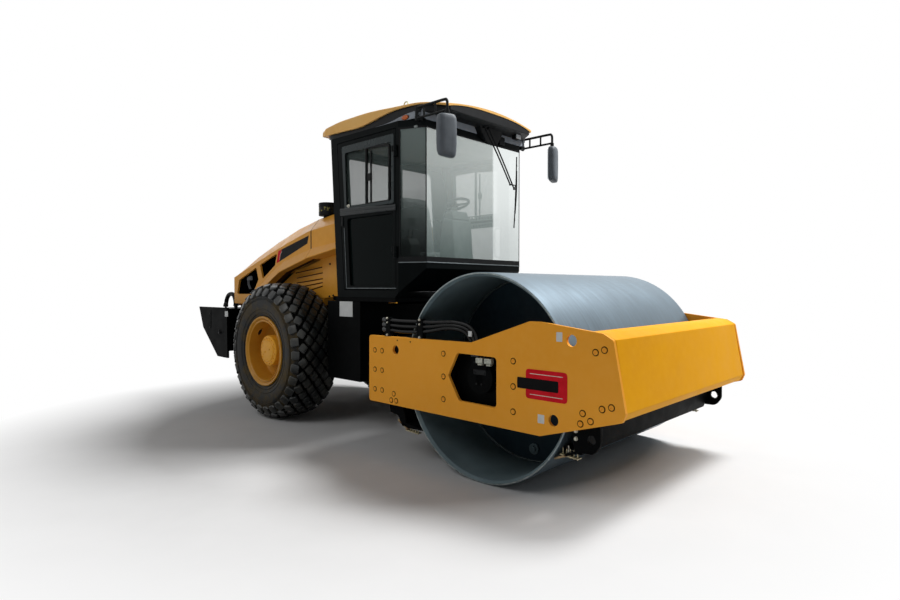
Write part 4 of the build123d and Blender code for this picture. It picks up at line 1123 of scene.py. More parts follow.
def makeCabSeals():
    seals, sill = bmesh.new(), bmesh.new()
    low, high, half = cabShape["glassLow"], cabShape["glassHigh"], cabShape["frontHalf"]
    bottom, foot = low + cabShape["sealLow"], low + cabShape["sillLow"]
    bands = ((bottom, low + 4), (high - 4, high + 10))
    for side in (-1, 1):
        for share, reach in ((0.045, 0.02), (0.982, 0.012)):
            addCornerStrip(seals, side, share - reach, share + reach, low, high, -1, 8)
        for start, end in bands:
            addCornerStrip(seals, side, 0.0, 1.0, start, end, -2, 6)
        addCornerStrip(sill, side, 0.0, 1.0, foot, bottom, -5, 2)
    for start, end in bands:
        addBox(seals, inCab(-4, -half, start), inCab(2, half, end))
    addBox(sill, inCab(-2, -half, foot), inCab(5, half, bottom))
    addFrame(seals, rearOutline(18, -4), rearOutline(-14, -4), (26 * mm, 0, 0))
    finishPiece("cabSeals", seals, "rear_frame", "seal", "buffer_rubber", bevel=1)
    finishPiece("sillTrim", sill, "rear_frame", "sill", "chrome_rod", bevel=1.5)


# pale grey trim; along the sill under the glass it is a painted highlight line
finish["sill"] = barMetal("paleTrimAndHighlight", "#5A6264", "#787F81", 0.5, 0.4, 30)
makePanes()
makeCabSeals()

doorShape = {
    # x from the windshield and height from the cab's floor
    "surround": [(-1020, 852), (-296, 852), (-296, 1475), (-1066, 1475)],
    "opening": [(-992, 880), (-330, 880), (-330, 1408), (-1014, 1408)],
    "rail": [(-1088, 800), (-268, 785), (-268, 838), (-1092, 872)],
    "railRibs": ((0, 1, 7), (0.08, 0.42, 11), (0.58, 0.92, 11)),      # from and to over its height, rise
    "slider": [(-704, 872), (-356, 872), (-356, 1396), (-704, 1422)],
    "sliderBar": 20, "postX": -640, "latch": (-640, 1130),
    "lines": [[(-997, 84), (-270, 84), (-270, 90), (-997, 90)],
              [(-997, 84), (-992, 84), (-1029, 682), (-1034, 682)]],
    "knob": (-957, 886), "knobTurned": [(0, 16), (10, 15), (13, 10), (13, 5), (18, 2), (18, 0)],
    "handle": ((-1076, 700), (-1046, 790)), "hinges": (410, 1310),
    # two toothed grips inside: their heights, teeth and the first and last tooth
    "grips": ((760, 812), (842, 900)), "teeth": 16, "gripX": (-1000, -320),
}


def makeDoorTrim(sideName, side):
    shape = doorShape
    body = "door_" + sideName

    def at(point, out):
        return inCab(point[0], side * (cabShape["half"] + out), point[1])

    def trim(name, part, look, slot, **more):
        finishPiece("{}_{}".format(name, sideName), part, body, look, slot, **more)

    surround, rail, slider, lines = bmesh.new(), bmesh.new(), bmesh.new(), bmesh.new()
    lock, handle, hinges, inside = bmesh.new(), bmesh.new(), bmesh.new(), bmesh.new()
    addFrame(surround, [at(p, 0) for p in rounded(shape["surround"], 24)],
             [at(p, 0) for p in rounded(shape["opening"], 22)], (0, side * 4 * mm, 0))
    trim("windowSurround", surround, "frit", "cab_charcoal", bevel=1)
    foot, toe, tip, heel = [Vector(p) for p in shape["rail"]]
    for start, end, out in shape["railRibs"]:
        rib = (foot.lerp(heel, start), toe.lerp(tip, start), toe.lerp(tip, end), foot.lerp(heel, end))
        addPrism(rail, [at(p, 0) for p in rib], (0, side * out * mm, 0))
    trim("doorRail", rail, "rail", "cab_charcoal", bevel=2.5)
    bar = shape["sliderBar"]
    shrink = [(p[0] + (bar if i in (0, 3) else -bar), p[1] + (bar if i < 2 else -bar))
              for i, p in enumerate(shape["slider"])]
    addFrame(slider, [at(p, -20) for p in rounded(shape["slider"], 30)],
             [at(p, -20) for p in rounded(shrink, 18)], (0, side * 22 * mm, 0))
    addBox(slider, at((shape["postX"], shrink[0][1]), -18), at((shape["postX"] + 16, shrink[2][1]), -6))
    x, z = shape["latch"]
    addBox(slider, at((x - 22, z - 34), -12), at((x + 26, z + 34), 8))
    trim("sliderFrame", slider, "seal", "buffer_rubber", bevel=2)
    for outline in shape["lines"]:
        addPrism(lines, [at(p, 0) for p in outline], (0, side * 3 * mm, 0))
    trim("doorLines", lines, "sill", "chrome_rod", bevel=1)
    addTurned(lock, at(shape["knob"], 4), [(r * mm, side * y * mm) for r, y in shape["knobTurned"]], 32,
              closed=False)
    trim("doorLock", lock, "zinc", "chrome_rod", smooth=50)
    addBox(handle, at(shape["handle"][0], 0), at(shape["handle"][1], 8))
    trim("doorHandle", handle, "seal", "cab_plastic", bevel=3)
    for height in shape["hinges"]:
        for x in (-300, -322):
            for rise in (14, 40):
                addBolt(hinges, at((x, height + rise), 3), (0, side, 0), 10 * mm)
    trim("hingeBolts", hinges, "iron", "cast_iron", bevel=1)
    first, last = shape["gripX"]
    for low, high in shape["grips"]:
        for step in range(shape["teeth"] + 1):
            x = first + (last - first) * step / shape["teeth"]
            addBox(inside, at((x - 8, low), -58), at((x + 8, high), -66))
        for edge in (low, high - 10):
            addBox(inside, at((first - 10, edge), -58), at((last + 10, edge + 12), -66))
    trim("doorGrip", inside, "plastic", "cab_plastic", bevel=1)


finish["frit"] = sprayedEnamel("fritBand", "#1E2A2C", "#2A3638", "#182122", 0.28, 5, "#3A4143", 0.2)
# the rail's pale grey edge tone is a painted highlight along its edges
finish["rail"] = sprayedEnamel("railEnamel", "#141B1D", "#20292B", "#101517", 0.3, 4, "#5C6668", 0.25)
bothSides(makeDoorTrim)
print("stage: doors")

# ---- Roof, mirrors, wiper and lamps

roofShape = {
    # x from the windshield; half width beyond the cab's side; underside, edge and crown over the cab's top
    "sections": [(-1412, -30, 66, 88, 106), (-1398, 0, 56, 112, 136), (-1370, 14, 50, 128, 154),
                 (-1090, 28, 40, 151, 191), (-765, 24, 31, 157, 199), (-613, 19, 52, 156, 197),
                 (-469, 9, 82, 151, 192), (-330, -3, 105, 144, 185), (-196, -18, 112, 137, 180),
                 (-35, -40, 113, 134, 184), (90, -105, 103, 124, 180), (200, -190, 86, 113, 171)],
    "stations": [-1412, -1408, -1400, -1387, *range(-1370, 151, 20), 170, 185, 194, 199],
    "back": -1412, "nose": 200, "corner": 26, "edgeDrop": (14, 4),
    # x from the windshield, half width and underside
    "visor": [(-1320, 770, 20), (-1240, 806, 0), (-660, 800, 0), (-370, 782, 0), (-90, 752, 0), (10, 738, 0),
              (90, 655, 52), (195, 582, 58)],
    "visorStations": [-1320, -1300, *range(-1280, 0, 40), -2, 4, *range(30, 181, 30), 195],
    "visorStep": 52,
    "eyes": ((-330, 620), (-1270, 620)), "eyeHalf": 27, "eyeRise": (42, 30),
}
roofFoot = cabFloor + cabShape["top"] * mm


def atRoof(x, y, z):
    # x from the windshield, height from the top of the cab's walls
    return Vector((cabFront + x * mm, y * mm, roofFoot + z * mm))


def eased(x):
    # the table's corners are eased by averaging over a short length
    spread = min(60, x - roofShape["back"], roofShape["nose"] - x)
    rows = [between(roofShape["sections"], x + spread * k / 2) for k in (-2, -1, 0, 1, 2)]
    return [sum(v) / 5 for v in zip(*rows)]


def roofSection(x):
    beyond, under, edge, crown = eased(x)
    half = cabShape["half"] + beyond
    ease = min(x - roofShape["back"], roofShape["nose"] - x) / 30
    drop = roofShape["edgeDrop"][0 if x < 0 else 1] * (1 - min(1, ease)) ** 2
    corner = min(roofShape["corner"], (edge - under) * 0.6)
    outline = []
    for step in range(11):
        y = (half - 3) * step / 10
        outline.append((y, under + (crown - edge) * (1 - (y / half) ** 3)))
    outline.append((half, under + 3))
    for step in range(5):
        angle = math.pi / 2 * step / 4
        outline.append((half - corner * (1 - math.cos(angle)), edge - drop - corner * (1 - math.sin(angle))))
    for step in range(1, 12):
        y = (half - corner) * (1 - step / 11)
        outline.append((y, edge + (crown - edge) * (1 - (y / (half - corner)) ** 2) - drop))
    return outline


def visorSection(x):
    half, under = between(roofShape["visor"], x)
    beyond, low, edge, crown = between(roofShape["sections"], x)
    if x > 0:
        under = roofShape["visorStep"] + (under - roofShape["visorStep"]) * x / 195
    outline = [(half * k / 8, under) for k in range(9)]
    for k in range(8, -1, -1):
        y = half * k / 8
        outline.append((y, low + 2 + (crown - edge) * (1 - (y / (cabShape["half"] + beyond)) ** 3)))
    return outline


def addSections(part, stations, section):
    # half outlines from the middle of the underside to the middle of the top, mirrored and joined
    rings = []
    for x in stations:
        outline = section(x)
        outline += [(-y, z) for y, z in reversed(outline[1:-1])]
        rings.append([atRoof(x, y, z) for y, z in outline])
    addLoft(part, rings)


def makeRoof():
    part, visor, eyes = bmesh.new(), bmesh.new(), bmesh.new()
    addSections(part, roofShape["stations"], roofSection)
    piece = finishPiece("roofSkin", part, "rear_frame", "roofOchre", "ochre_enamel", smooth=32)
    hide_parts("roof_shell")
    addSections(visor, roofShape["visorStations"], visorSection)
    piece = finishPiece("roofVisorSkin", visor, "rear_frame", "visor", "cab_charcoal", bevel=4, smooth=40)
    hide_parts("roof_visor")
    reach, (rise, bow) = roofShape["eyeHalf"], roofShape["eyeRise"]
    for x, y in roofShape["eyes"]:
        beyond, _, edge, crown = between(roofShape["sections"], x)
        base = edge + (crown - edge) * (1 - (y / (cabShape["half"] + beyond)) ** 2) - 4
        for side in (-1, 1):
            spots = []
            for step in range(17):
                angle = math.pi * step / 16
                spots.append(atRoof(x + reach * math.cos(angle), side * y,
                                    base + rise + bow * math.sin(angle)))
            legs = Vector((0, 0, rise * mm))
            addTube(eyes, [spots[0] - legs, *spots, spots[-1] - legs], 5.5 * mm, 10)
            for way in (-reach, reach):
                foot = atRoof(x + way, side * y, base)
                addRod(eyes, foot, foot + Vector((0, 0, 8 * mm)), 11 * mm, 18)
    finishPiece("liftingEyes", eyes, "rear_frame", "olive", "chrome_rod", bevel=0.6)


headerShape = {
    "sideTop": [(-560, 2), (-460, 6), (-370, 14), (-310, 25), (-250, 40), (-170, 54), (-90, 62), (0, 68),
                (14, 68)],
    "front": [(4, 716, -2, 56), (-1, 690, -8, 2)],
    # marker lamp: x and height, its half axes, then scale, reach and back of its rim and lens
    "marker": (-183, 25), "markerAxes": (42, 21), "markerRim": (1.14, 5, 3), "markerLens": (1.0, 16, 3),
    # work lamps from the windshield and the cab's floor, with one box for each part
    "lampX": 128, "lampZ": 1632, "lampY": (495, -486),
    "lens": ((-6, -36, -42), (2, 36, 38)),
    "cases": (((-58, -40, -46), (-4, 40, 30)), ((-40, -14, 20), (-14, 14, 60))),
}


def makeHeader():
    part, amber, rims = bmesh.new(), bmesh.new(), bmesh.new()
    for side in (-1, 1):
        sections = []
        for x, height in headerShape["sideTop"]:
            half, under = between(roofShape["visor"], x)
            outline = ((half - 1, under + 1), (half + 4, under + 1), (half + 4, height), (half - 1, height))
            sections.append([atRoof(x, side * y, z) for y, z in outline])
        addLoft(part, sections)
    for x, half, low, high in headerShape["front"]:
        addBox(part, atRoof(x, -half, low), atRoof(x + 8, half, high))
    finishPiece("headerPanels", part, "rear_frame", "header", "cab_plastic", bevel=2)
    (x, height), (long, tall) = headerShape["marker"], headerShape["markerAxes"]
    half = between(roofShape["visor"], x)[0]
    for side in (-1, 1):
        for target, look in ((rims, "markerRim"), (amber, "markerLens")):
            scale, out, back = headerShape[look]
            rings = []
            for reach, grow in ((back, 1.0), (out * 0.55, 1.0), (out * 0.85, 0.86), (out, 0.6)):
                ring = []
                for step in range(28):
                    angle = 2 * math.pi * step / 28
                    ring.append(atRoof(x + long * scale * grow * math.cos(angle), side * (half + reach),
                                       height + tall * scale * grow * math.sin(angle)))
                rings.append(ring)
            addLoft(target, rings)
    finishPiece("markerLamps", amber, "rear_frame", "amber", "cab_plastic", smooth=50)
    finishPiece("markerRims", rims, "rear_frame", "seal", "cab_plastic", smooth=50)


def makeWorkLamps():
    lens, case = bmesh.new(), bmesh.new()
    for y in headerShape["lampY"]:
        spot = Vector((headerShape["lampX"], y, headerShape["lampZ"]))
        for target, boxes in ((lens, (headerShape["lens"],)), (case, headerShape["cases"])):
            for low, high in boxes:
                addBox(target, inCab(*(spot + Vector(low))), inCab(*(spot + Vector(high))))
    finishPiece("workLampLenses", lens, "rear_frame", "lens", "pane_glass", bevel=2)
    finishPiece("workLampCases", case, "rear_frame", "seal", "cab_plastic", bevel=6)


wiperShape = {
    # spots are millimetres from the windshield, the middle and the cab's floor
    "arms": [((92, 0, 1622), (12, 508, 1145)), ((92, 62, 1618), (12, 575, 1108))],
    "blade": ((9, 577, 708), (9, 621, 1445)), "bracket": (12, 598, 1150),
    "grips": (0.12, 0.36, 0.64, 0.88), "grip": ((0, -34), (8, -10), (8, 10), (0, 34)),
    "cover": [[(2, -60, 1636), (2, 300, 1636), (84, 300, 1640), (84, -60, 1640)],
              [(2, -20, 1572), (2, 300, 1572), (64, 298, 1584), (64, -14, 1584)],
              [(2, 130, 1500), (2, 288, 1500), (16, 286, 1502), (16, 134, 1502)]],
    "motor": ((1, 318, 1520), (26, 402, 1600)),
}


def makeWiper():
    part, cover = bmesh.new(), bmesh.new()
    out = Vector((mm, 0, 0))
    arms = [(inCab(*start), inCab(*end)) for start, end in wiperShape["arms"]]
    for start, end in arms:
        addTube(part, smoothPath([start, start.lerp(end, 0.5) + out * 6, end], 8), 7.5 * mm, 8)
        addRod(part, start - out * 20, start + out * 10, 13 * mm, 16)
        addRod(part, end - out * 8, end + out * 8, 9 * mm, 12)
    bracket = inCab(*wiperShape["bracket"])
    addTube(part, [arms[0][1], bracket, arms[1][1]], 6 * mm, 8)
    low, high = [inCab(*spot) for spot in wiperShape["blade"]]
    bowed = [low, low.lerp(high, 0.3) + out * 4, low.lerp(high, 0.7) + out * 4, high]
    addTube(part, smoothPath(bowed, 6), 6 * mm, 8)
    for share in wiperShape["grips"]:
        spot = low.lerp(high, share)
        addTube(part, [spot + Vector((x * mm, 0, z * mm)) for x, z in wiperShape["grip"]], 3 * mm, 6)
    spine = [low.lerp(high, share) + out * reach for share, reach in ((0.2, 9), (0.5, 16), (0.8, 9))]
    addTube(part, smoothPath(spine, 8), 5 * mm, 8)
    addTube(part, [bracket, spine[1]], 6 * mm, 8)
    piece = finishPiece("wiperArms", part, "rear_frame", "seal", "cab_plastic", smooth=50)
    # the arms don't show again in the windshield
    piece.visible_glossy = False
    addLoft(cover, [[inCab(*spot) for spot in ring] for ring in wiperShape["cover"]])
    addBox(cover, *[inCab(*spot) for spot in wiperShape["motor"]])
    finishPiece("wiperCover", cover, "rear_frame", "seal", "cab_plastic", bevel=6)


mirrorShape = {
    "y": 775, "footX": -25, "headX": 340, "low": -15, "high": 77, "tube": 12, "turn": 17, "bend": 34,
    "struts": (90, 225), "clamps": (-100, -30), "frontDepth": 46, "backDepth": 30,
    # heights from the cab's top, half width and share of the depth of the head
    "rings": [(-402, 52, 0.72), (-398, 66, 0.84), (-386, 76, 0.93), (-360, 84, 0.98), (-300, 88, 1.0),
              (-150, 88, 1.0), (-95, 87, 0.98), (-70, 80, 0.92), (-58, 68, 0.8), (-55, 54, 0.66)],
    "glass": (-72, -384, 72, -74),
}


def makeMirror(sideName, side):
    shape = mirrorShape
    footX, headX, y, low, high = [shape[key] for key in ("footX", "headX", "y", "low", "high")]
    bend, tube = shape["bend"], shape["tube"]

    def at(x, y, z):
        return atRoof(x, side * y, z)

    def unseen(name, part, look, slot, **more):
        # the mirrors don't show again in the windshield
        piece = finishPiece("{}_{}".format(name, sideName), part, "rear_frame", look, slot, **more)
        piece.visible_glossy = False
        return piece

    arms, head, glass = bmesh.new(), bmesh.new(), bmesh.new()
    upper = [at(footX, y, high), at(headX - bend, y, high), at(headX - 9, y, high - 9),
             at(headX, y, high - bend), at(headX, y, -120)]
    addTube(arms, smoothPath([upper[0], upper[0].lerp(upper[1], 0.5), *upper[1:4],
                              upper[3].lerp(upper[4], 0.5), upper[4]], 5), tube * mm, 12)
    addTube(arms, [at(footX, y, low), at(headX, y, low)], (tube - 2) * mm, 12)
    for x in shape["struts"]:
        addTube(arms, [at(footX + x, y, low), at(footX + x, y, high)], (tube - 3) * mm, 10)
    addTube(arms, [at(footX, y, low - 20), at(footX, y, high + 16)], 15 * mm, 14)
    for z in (low, high - 16):
        addBox(arms, at(footX - 22, y - 52, z - 14), at(footX + 22, y + 4, z + 22))
        addBolt(arms, at(footX + 22, y - 26, z + 4), (1, 0, 0), 14 * mm)
    for z in shape["clamps"]:
        addRod(arms, at(headX, y, z - 14), at(headX, y, z + 14), 19 * mm, 16)
    turn = Matrix.Rotation(math.radians(side * shape["turn"]), 4, "Z")
    middle = at(headX, y + 10, 0)
    rings = []
    for height, half, depth in shape["rings"]:
        ring = []
        for step in range(40):
            angle = 2 * math.pi * step / 40
            c, s = math.cos(angle), math.sin(angle)
            across = half * math.copysign(abs(s) ** 0.55, s)
            along = math.copysign(abs(c) ** (0.75 if c > 0 else 0.35), c)
            along *= (shape["frontDepth"] if c > 0 else shape["backDepth"]) * depth
            # the foot of the shell leans outward
            lean = -0.10 * across if height < -360 else 0
            ring.append(middle + turn @ Vector((along * mm, across * mm, (height + lean) * mm)))
        rings.append(ring)
    addLoft(head, rings)
    addPrism(glass, [middle + turn @ Vector((-31 * mm, p.x * mm, p.y * mm))
                     for p in roundedBox(*shape["glass"], 22, 5)], turn @ Vector((-2 * mm, 0, 0)))
    unseen("mirrorArms", arms, "seal", "cab_plastic", bevel=1)
    unseen("mirrorHead", head, "mirrorShell", "cab_plastic", smooth=50)
    piece = unseen("mirrorGlass", glass, "mirrorFace", "chrome_rod", bevel=0.6)
    if side > 0:
        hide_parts("mirrors")


# the roof's paler copy of the ochre is a painted sheen of the sky on its top
finish["roofOchre"] = sprayedEnamel("roofEnamelSheen", "#F0BC6C", "#F4C67C", "#E8B05E", 0.45, 5, gloss=0.2)
finish["visor"] = mouldedPlastic("visorPlastic", "#0A0B0D", "#131517", 3, 0.45, 0.15)
finish["olive"] = barMetal("oliveZinc", "#7C7A58", "#B4B48C", 0.4, 0.8)
# the header panels' pale grey is a painted sheen of the sky on the plastic
finish["header"] = mouldedPlastic("headerPlasticSheen", "#888E96", "#949AA2", 3, 0.5)
finish["mirrorShell"] = mouldedPlastic("mirrorShell", "#4E5359", "#5C6268", 2.5, 0.5, 0.25)
finish["mirrorFace"] = barMetal("silveredGlass", "#B4BCC0", "#C2C8CC", 0.04, 1.0, 200)
makeRoof()
makeHeader()
makeWorkLamps()
makeWiper()
bothSides(makeMirror)
print("stage: roof")

# ---- Cab interior

seatShape = {
    # x from the windshield and half width; heights from the floor with the share of the outline
    "cushion": (-880, -390, 250),
    "cushionRings": ((310, 0.9), (322, 0.97), (340, 1.0), (396, 1.0), (416, 0.96), (426, 0.88), (428, 0.6),
                     (422, 0.2)),
    # the axis, place, reach and depth of each stitched seam, in metres
    "seams": ((1, -0.13, 0.02, 0.012), (1, 0.13, 0.02, 0.012), (0, cabFront - 0.72, 0.02, 0.01)),
    "back": (440, 1050), "backShares": (0.0, 0.02, 0.06, 0.3, 0.6, 0.8, 0.93, 0.98, 1.0),
    "backX": -826, "backLean": -86, "backDepth": 54, "backHalf": 236, "backTaper": 70,
    "voxel": 6, "held": 12, "farthest": 24, "frames": 20,      # the cloth simulation
    "folds": 6, "foldRise": 36,
    "plates": (((-835, -215, 50), (-475, 215, 66)), ((-850, -220, 272), (-450, 220, 308))),
    "handle": ((-460, -190, 290), (-400, -195, 300), (-380, -120, 302), (-380, 120, 302), (-400, 195, 300),
               (-460, 190, 290)),
}


def softBlock(part, sections):
    # a block of rounded sections: each is (middle, half depth vector, half width vector, share)
    rings = []
    for middle, deep, wide, share in sections:
        ring = []
        for step in range(44):
            angle = 2 * math.pi * step / 44
            c, s = math.cos(angle), math.sin(angle)
            ring.append(middle + deep * math.copysign(abs(c) ** 0.42, c) * share
                        + wide * math.copysign(abs(s) ** 0.42, s) * (1 - (1 - share) * 0.4))
        rings.append(ring)
    addLoft(part, rings)


def meshNow(piece):
    depsgraph = bpy.context.evaluated_depsgraph_get()
    depsgraph.update()
    return bpy.data.meshes.new_from_object(piece.evaluated_get(depsgraph))


def blowOut(piece):
    # the cover is remeshed evenly and blown out by pressure, with its lowest edge held
    remesh = piece.modifiers.new("even", "REMESH")
    remesh.mode = "VOXEL"
    remesh.voxel_size = seatShape["voxel"] * mm
    remesh.use_smooth_shade = True
    remeshed = meshNow(piece)
    piece.modifiers.clear()
    piece.data = remeshed
    still = [v.co.copy() for v in piece.data.vertices]
    cloth = piece.modifiers.new("fill", "CLOTH")
    cloth.settings.use_pressure = True
    cloth.settings.uniform_pressure_force = 4
    cloth.settings.effector_weights.gravity = 0
    cloth.settings.tension_stiffness = 40
    cloth.settings.quality = 5
    group = piece.vertex_groups.new(name="held")
    edge = min(v.z for v in still) + seatShape["held"] * mm
    group.add([i for i, v in enumerate(still) if v.z < edge], 1.0, "REPLACE")
    cloth.settings.vertex_group_mass = "held"
    for timed in (scene, cloth.point_cache):
        timed.frame_start = 1
        timed.frame_end = seatShape["frames"]
    for frameNumber in range(1, seatShape["frames"] + 1):
        scene.frame_set(frameNumber)
    blown = bpy.data.meshes.new_from_object(piece.evaluated_get(bpy.context.evaluated_depsgraph_get()))
    scene.frame_set(1)
    piece.modifiers.clear()
    farthest = seatShape["farthest"] * mm
    for vertex, rest in zip(blown.vertices, still):
        move = vertex.co - rest
        if move.length > farthest:
            vertex.co = rest + move.normalized() * farthest
    piece.data = blown
    if not piece.data.materials:
        piece.data.materials.append(finish["cloth"])
    piece.data.shade_smooth()


def makeCushion(name, node, sections, seams=()):
    part = bmesh.new()
    softBlock(part, sections)
    piece = finishPiece(name, part, "rear_frame", "cloth", "seat_fabric", smooth=60)
    blowOut(piece)
    # stitched seams pull the cover in along lines
    for vertex in piece.data.vertices:
        for axis, place, width, pull in seams:
            gap = abs(vertex.co[axis] - place)
            if gap < width:
                vertex.co.z -= pull * (1 - gap / width) ** 2 * 0.6
    finer = piece.modifiers.new("finer", "SUBSURF")
    finer.levels = finer.render_levels = 1
    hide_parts(node)


def makeSeat():
    shape = seatShape
    back, front, half = shape["cushion"]
    deep, wide = Vector(((front - back) / 2 * mm, 0, 0)), Vector((0, half * mm, 0))
    makeCushion("cushionCover", "seat_cushion",
                [(inCab((back + front) / 2, 0, height), deep, wide, share)
                 for height, share in shape["cushionRings"]], shape["seams"])
    low, high = shape["back"]
    sections = []
    for share in shape["backShares"]:
        atEnd = share in (0.0, 1.0)
        taper = shape["backTaper"] * (max(0, share - 0.75) / 0.25) ** 2
        middle = inCab(shape["backX"] + shape["backLean"] * share, 0, low + (high - low) * share)
        sections.append((middle, Vector((shape["backDepth"] * mm, 0, 0)) * (0.86 if atEnd else 1.0),
                         Vector((0, (shape["backHalf"] - taper) * mm, 0)), 0.94 if atEnd else 1.0))
    makeCushion("backCover", "seat_back", sections)
    base = bmesh.new()
    for step in range(shape["folds"]):
        z, half = 60 + step * shape["foldRise"], 190 - 6 * (step % 2)
        addBox(base, inCab(-820, -half, z), inCab(-490, half, z + 30))
    for plate in shape["plates"]:
        addBox(base, *[inCab(*spot) for spot in plate])
    addTube(base, smoothPath([inCab(*spot) for spot in shape["handle"]], 6), 8 * mm, 10)
    piece = finishPiece("seatBellows", base, "rear_frame", "plastic", "cab_plastic", bevel=6)
    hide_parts("seat_base")


steeringShape = {
    "foot": (-250, 0, 700), "top": (-310, 0, 905), "radius": 172, "tube": 14, "spokes": (90, 210, 330),
    # inner and outer end of a spoke: half width and thickness
    "spokeEnds": ((26, 12), (13, 10)), "knobAngle": 0.5, "pedestalHalf": (140, 120),
    "pedestal": [(-330, 780), (-196, 752), (-160, 330), (-196, 240), (-330, 52), (-415, 52)],
    "shroud": [(-335, 775), (-350, 820), (-230, 850), (-200, 760)],
}


def makeSteeringWheel():
    shape = steeringShape
    rim, column = bmesh.new(), bmesh.new()
    foot, top = inCab(*shape["foot"]), inCab(*shape["top"])
    way = (top - foot).normalized()
    side = Vector((0, 1, 0))
    up = way.cross(side)
    radius, centre = shape["radius"] * mm, top + way * 12 * mm
    middle = radius - 13 * mm

    def outward(angle):
        return side * math.cos(angle) + up * math.sin(angle)

    ring = [centre + outward(2 * math.pi * step / 64) * middle for step in range(65)]
    addTube(rim, ring[:-1] + ring[:2], shape["tube"] * mm, 12)
    for spoke in shape["spokes"]:
        out = outward(math.radians(spoke))
        across = way.cross(out)
        spots = (centre - way * 14 * mm + out * 30 * mm, centre + out * (radius - 20 * mm))
        sections = []
        for spot, (half, thick) in zip(spots, shape["spokeEnds"]):
            aside, over = across * half * mm, way * thick * mm
            sections.append([spot + aside, spot - aside, spot - aside + over, spot + aside + over])
        addLoft(rim, sections)
    addRod(rim, centre - way * 24 * mm, centre + way * 6 * mm, 46 * mm, 36)
    knob = centre + outward(shape["knobAngle"]) * middle
    addRod(rim, knob, knob + way * 40 * mm, 9 * mm, 12)
    addRod(rim, knob + way * 30 * mm, knob + way * 64 * mm, 20 * mm, 20, 15 * mm)
    finishPiece("steeringWheel", rim, "rear_frame", "seal", "cab_plastic", bevel=2, smooth=50)
    addRod(column, foot, top - way * 6 * mm, 30 * mm, 24)
    outlines = ([tuple(p.xy) for p in rounded(shape["pedestal"], 26)], shape["shroud"])
    for outline, half in zip(outlines, shape["pedestalHalf"]):
        addPrism(column, [inCab(x, -half, z) for x, z in outline], (0, 2 * half * mm, 0))
    piece = finishPiece("columnPedestal", column, "rear_frame", "plastic", "cab_plastic", bevel=14,
                        segments=3)
    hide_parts("steering_column")


consoleShape = {
    "y": -490, "outline": [(-745, 400), (-345, 380), (-340, 500), (-380, 560), (-745, 572)], "half": 68,
    "stand": ((-690, -50, 50), (-400, 50, 400)),
    "levers": ((-420, -520, 30), (-420, -465, 22), (-500, -500, -20)),
    "leverFoot": 545, "leverTip": 700, "switches": 4, "switchStep": 34,
    "rail": ((-310, 735, 420), (-330, 690, 440), (-330, 680, 520), (-330, 680, 640), (-330, 690, 720),
             (-310, 735, 740)),
}


def makeConsole():
    shape, y = consoleShape, consoleShape["y"]
    part, levers = bmesh.new(), bmesh.new()
    addPrism(part, [inCab(p.x, y - shape["half"], p.y) for p in rounded(shape["outline"], 30)],
             (0, 2 * shape["half"] * mm, 0))
    addBox(part, *[inCab(x, y + out, z) for x, out, z in shape["stand"]])
    rise = Vector((0, 0, mm))
    for x, across, lean in shape["levers"]:
        foot, tip = inCab(x, across, shape["leverFoot"]), inCab(x + lean, across, shape["leverTip"])
        addTube(levers, [foot, tip], 6 * mm, 10)
        addRod(levers, tip - rise * 20, tip + rise * 50, 17 * mm, 20, 21 * mm)
        addRod(levers, foot, foot + rise * 40, 34 * mm, 24, 10 * mm)
    for step in range(shape["switches"]):
        x = -600 - shape["switchStep"] * step
        addBox(levers, inCab(x, -535, 560), inCab(x + 22, -505, 584))
    piece = finishPiece("armConsole", part, "rear_frame", "plastic", "cab_plastic", bevel=10, segments=3)
    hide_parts("console")
    finishPiece("consoleLevers", levers, "rear_frame", "seal", "cab_plastic", bevel=2)


def makeLinings():
    lining, mat, rail = bmesh.new(), bmesh.new(), bmesh.new()
    addBox(lining, inCab(-1150, -735, 1500), inCab(-70, 735, 1522))
    finishPiece("headLining", lining, "rear_frame", "lining", "cab_plastic", bevel=6)
    addBox(mat, inCab(-1080, -690, 50), inCab(-80, 690, 58))
    finishPiece("floorMat", mat, "rear_frame", "rubber", "buffer_rubber", bevel=2)
    for side in (-1, 1):
        path = [inCab(x, side * y, z) for x, y, z in consoleShape["rail"]]
        addTube(rail, smoothPath(path, 6), 11 * mm, 12)
    finishPiece("grabRails", rail, "rear_frame", "seal", "cab_plastic", smooth=60)


finish["lining"] = mouldedPlastic("ceilingFoam", "#8A918F", "#9CA3A1", 8, 0.8)
makeSeat()
makeSteeringWheel()
makeConsole()
makeLinings()
print("stage: cab interior")

# ---- Engine cover

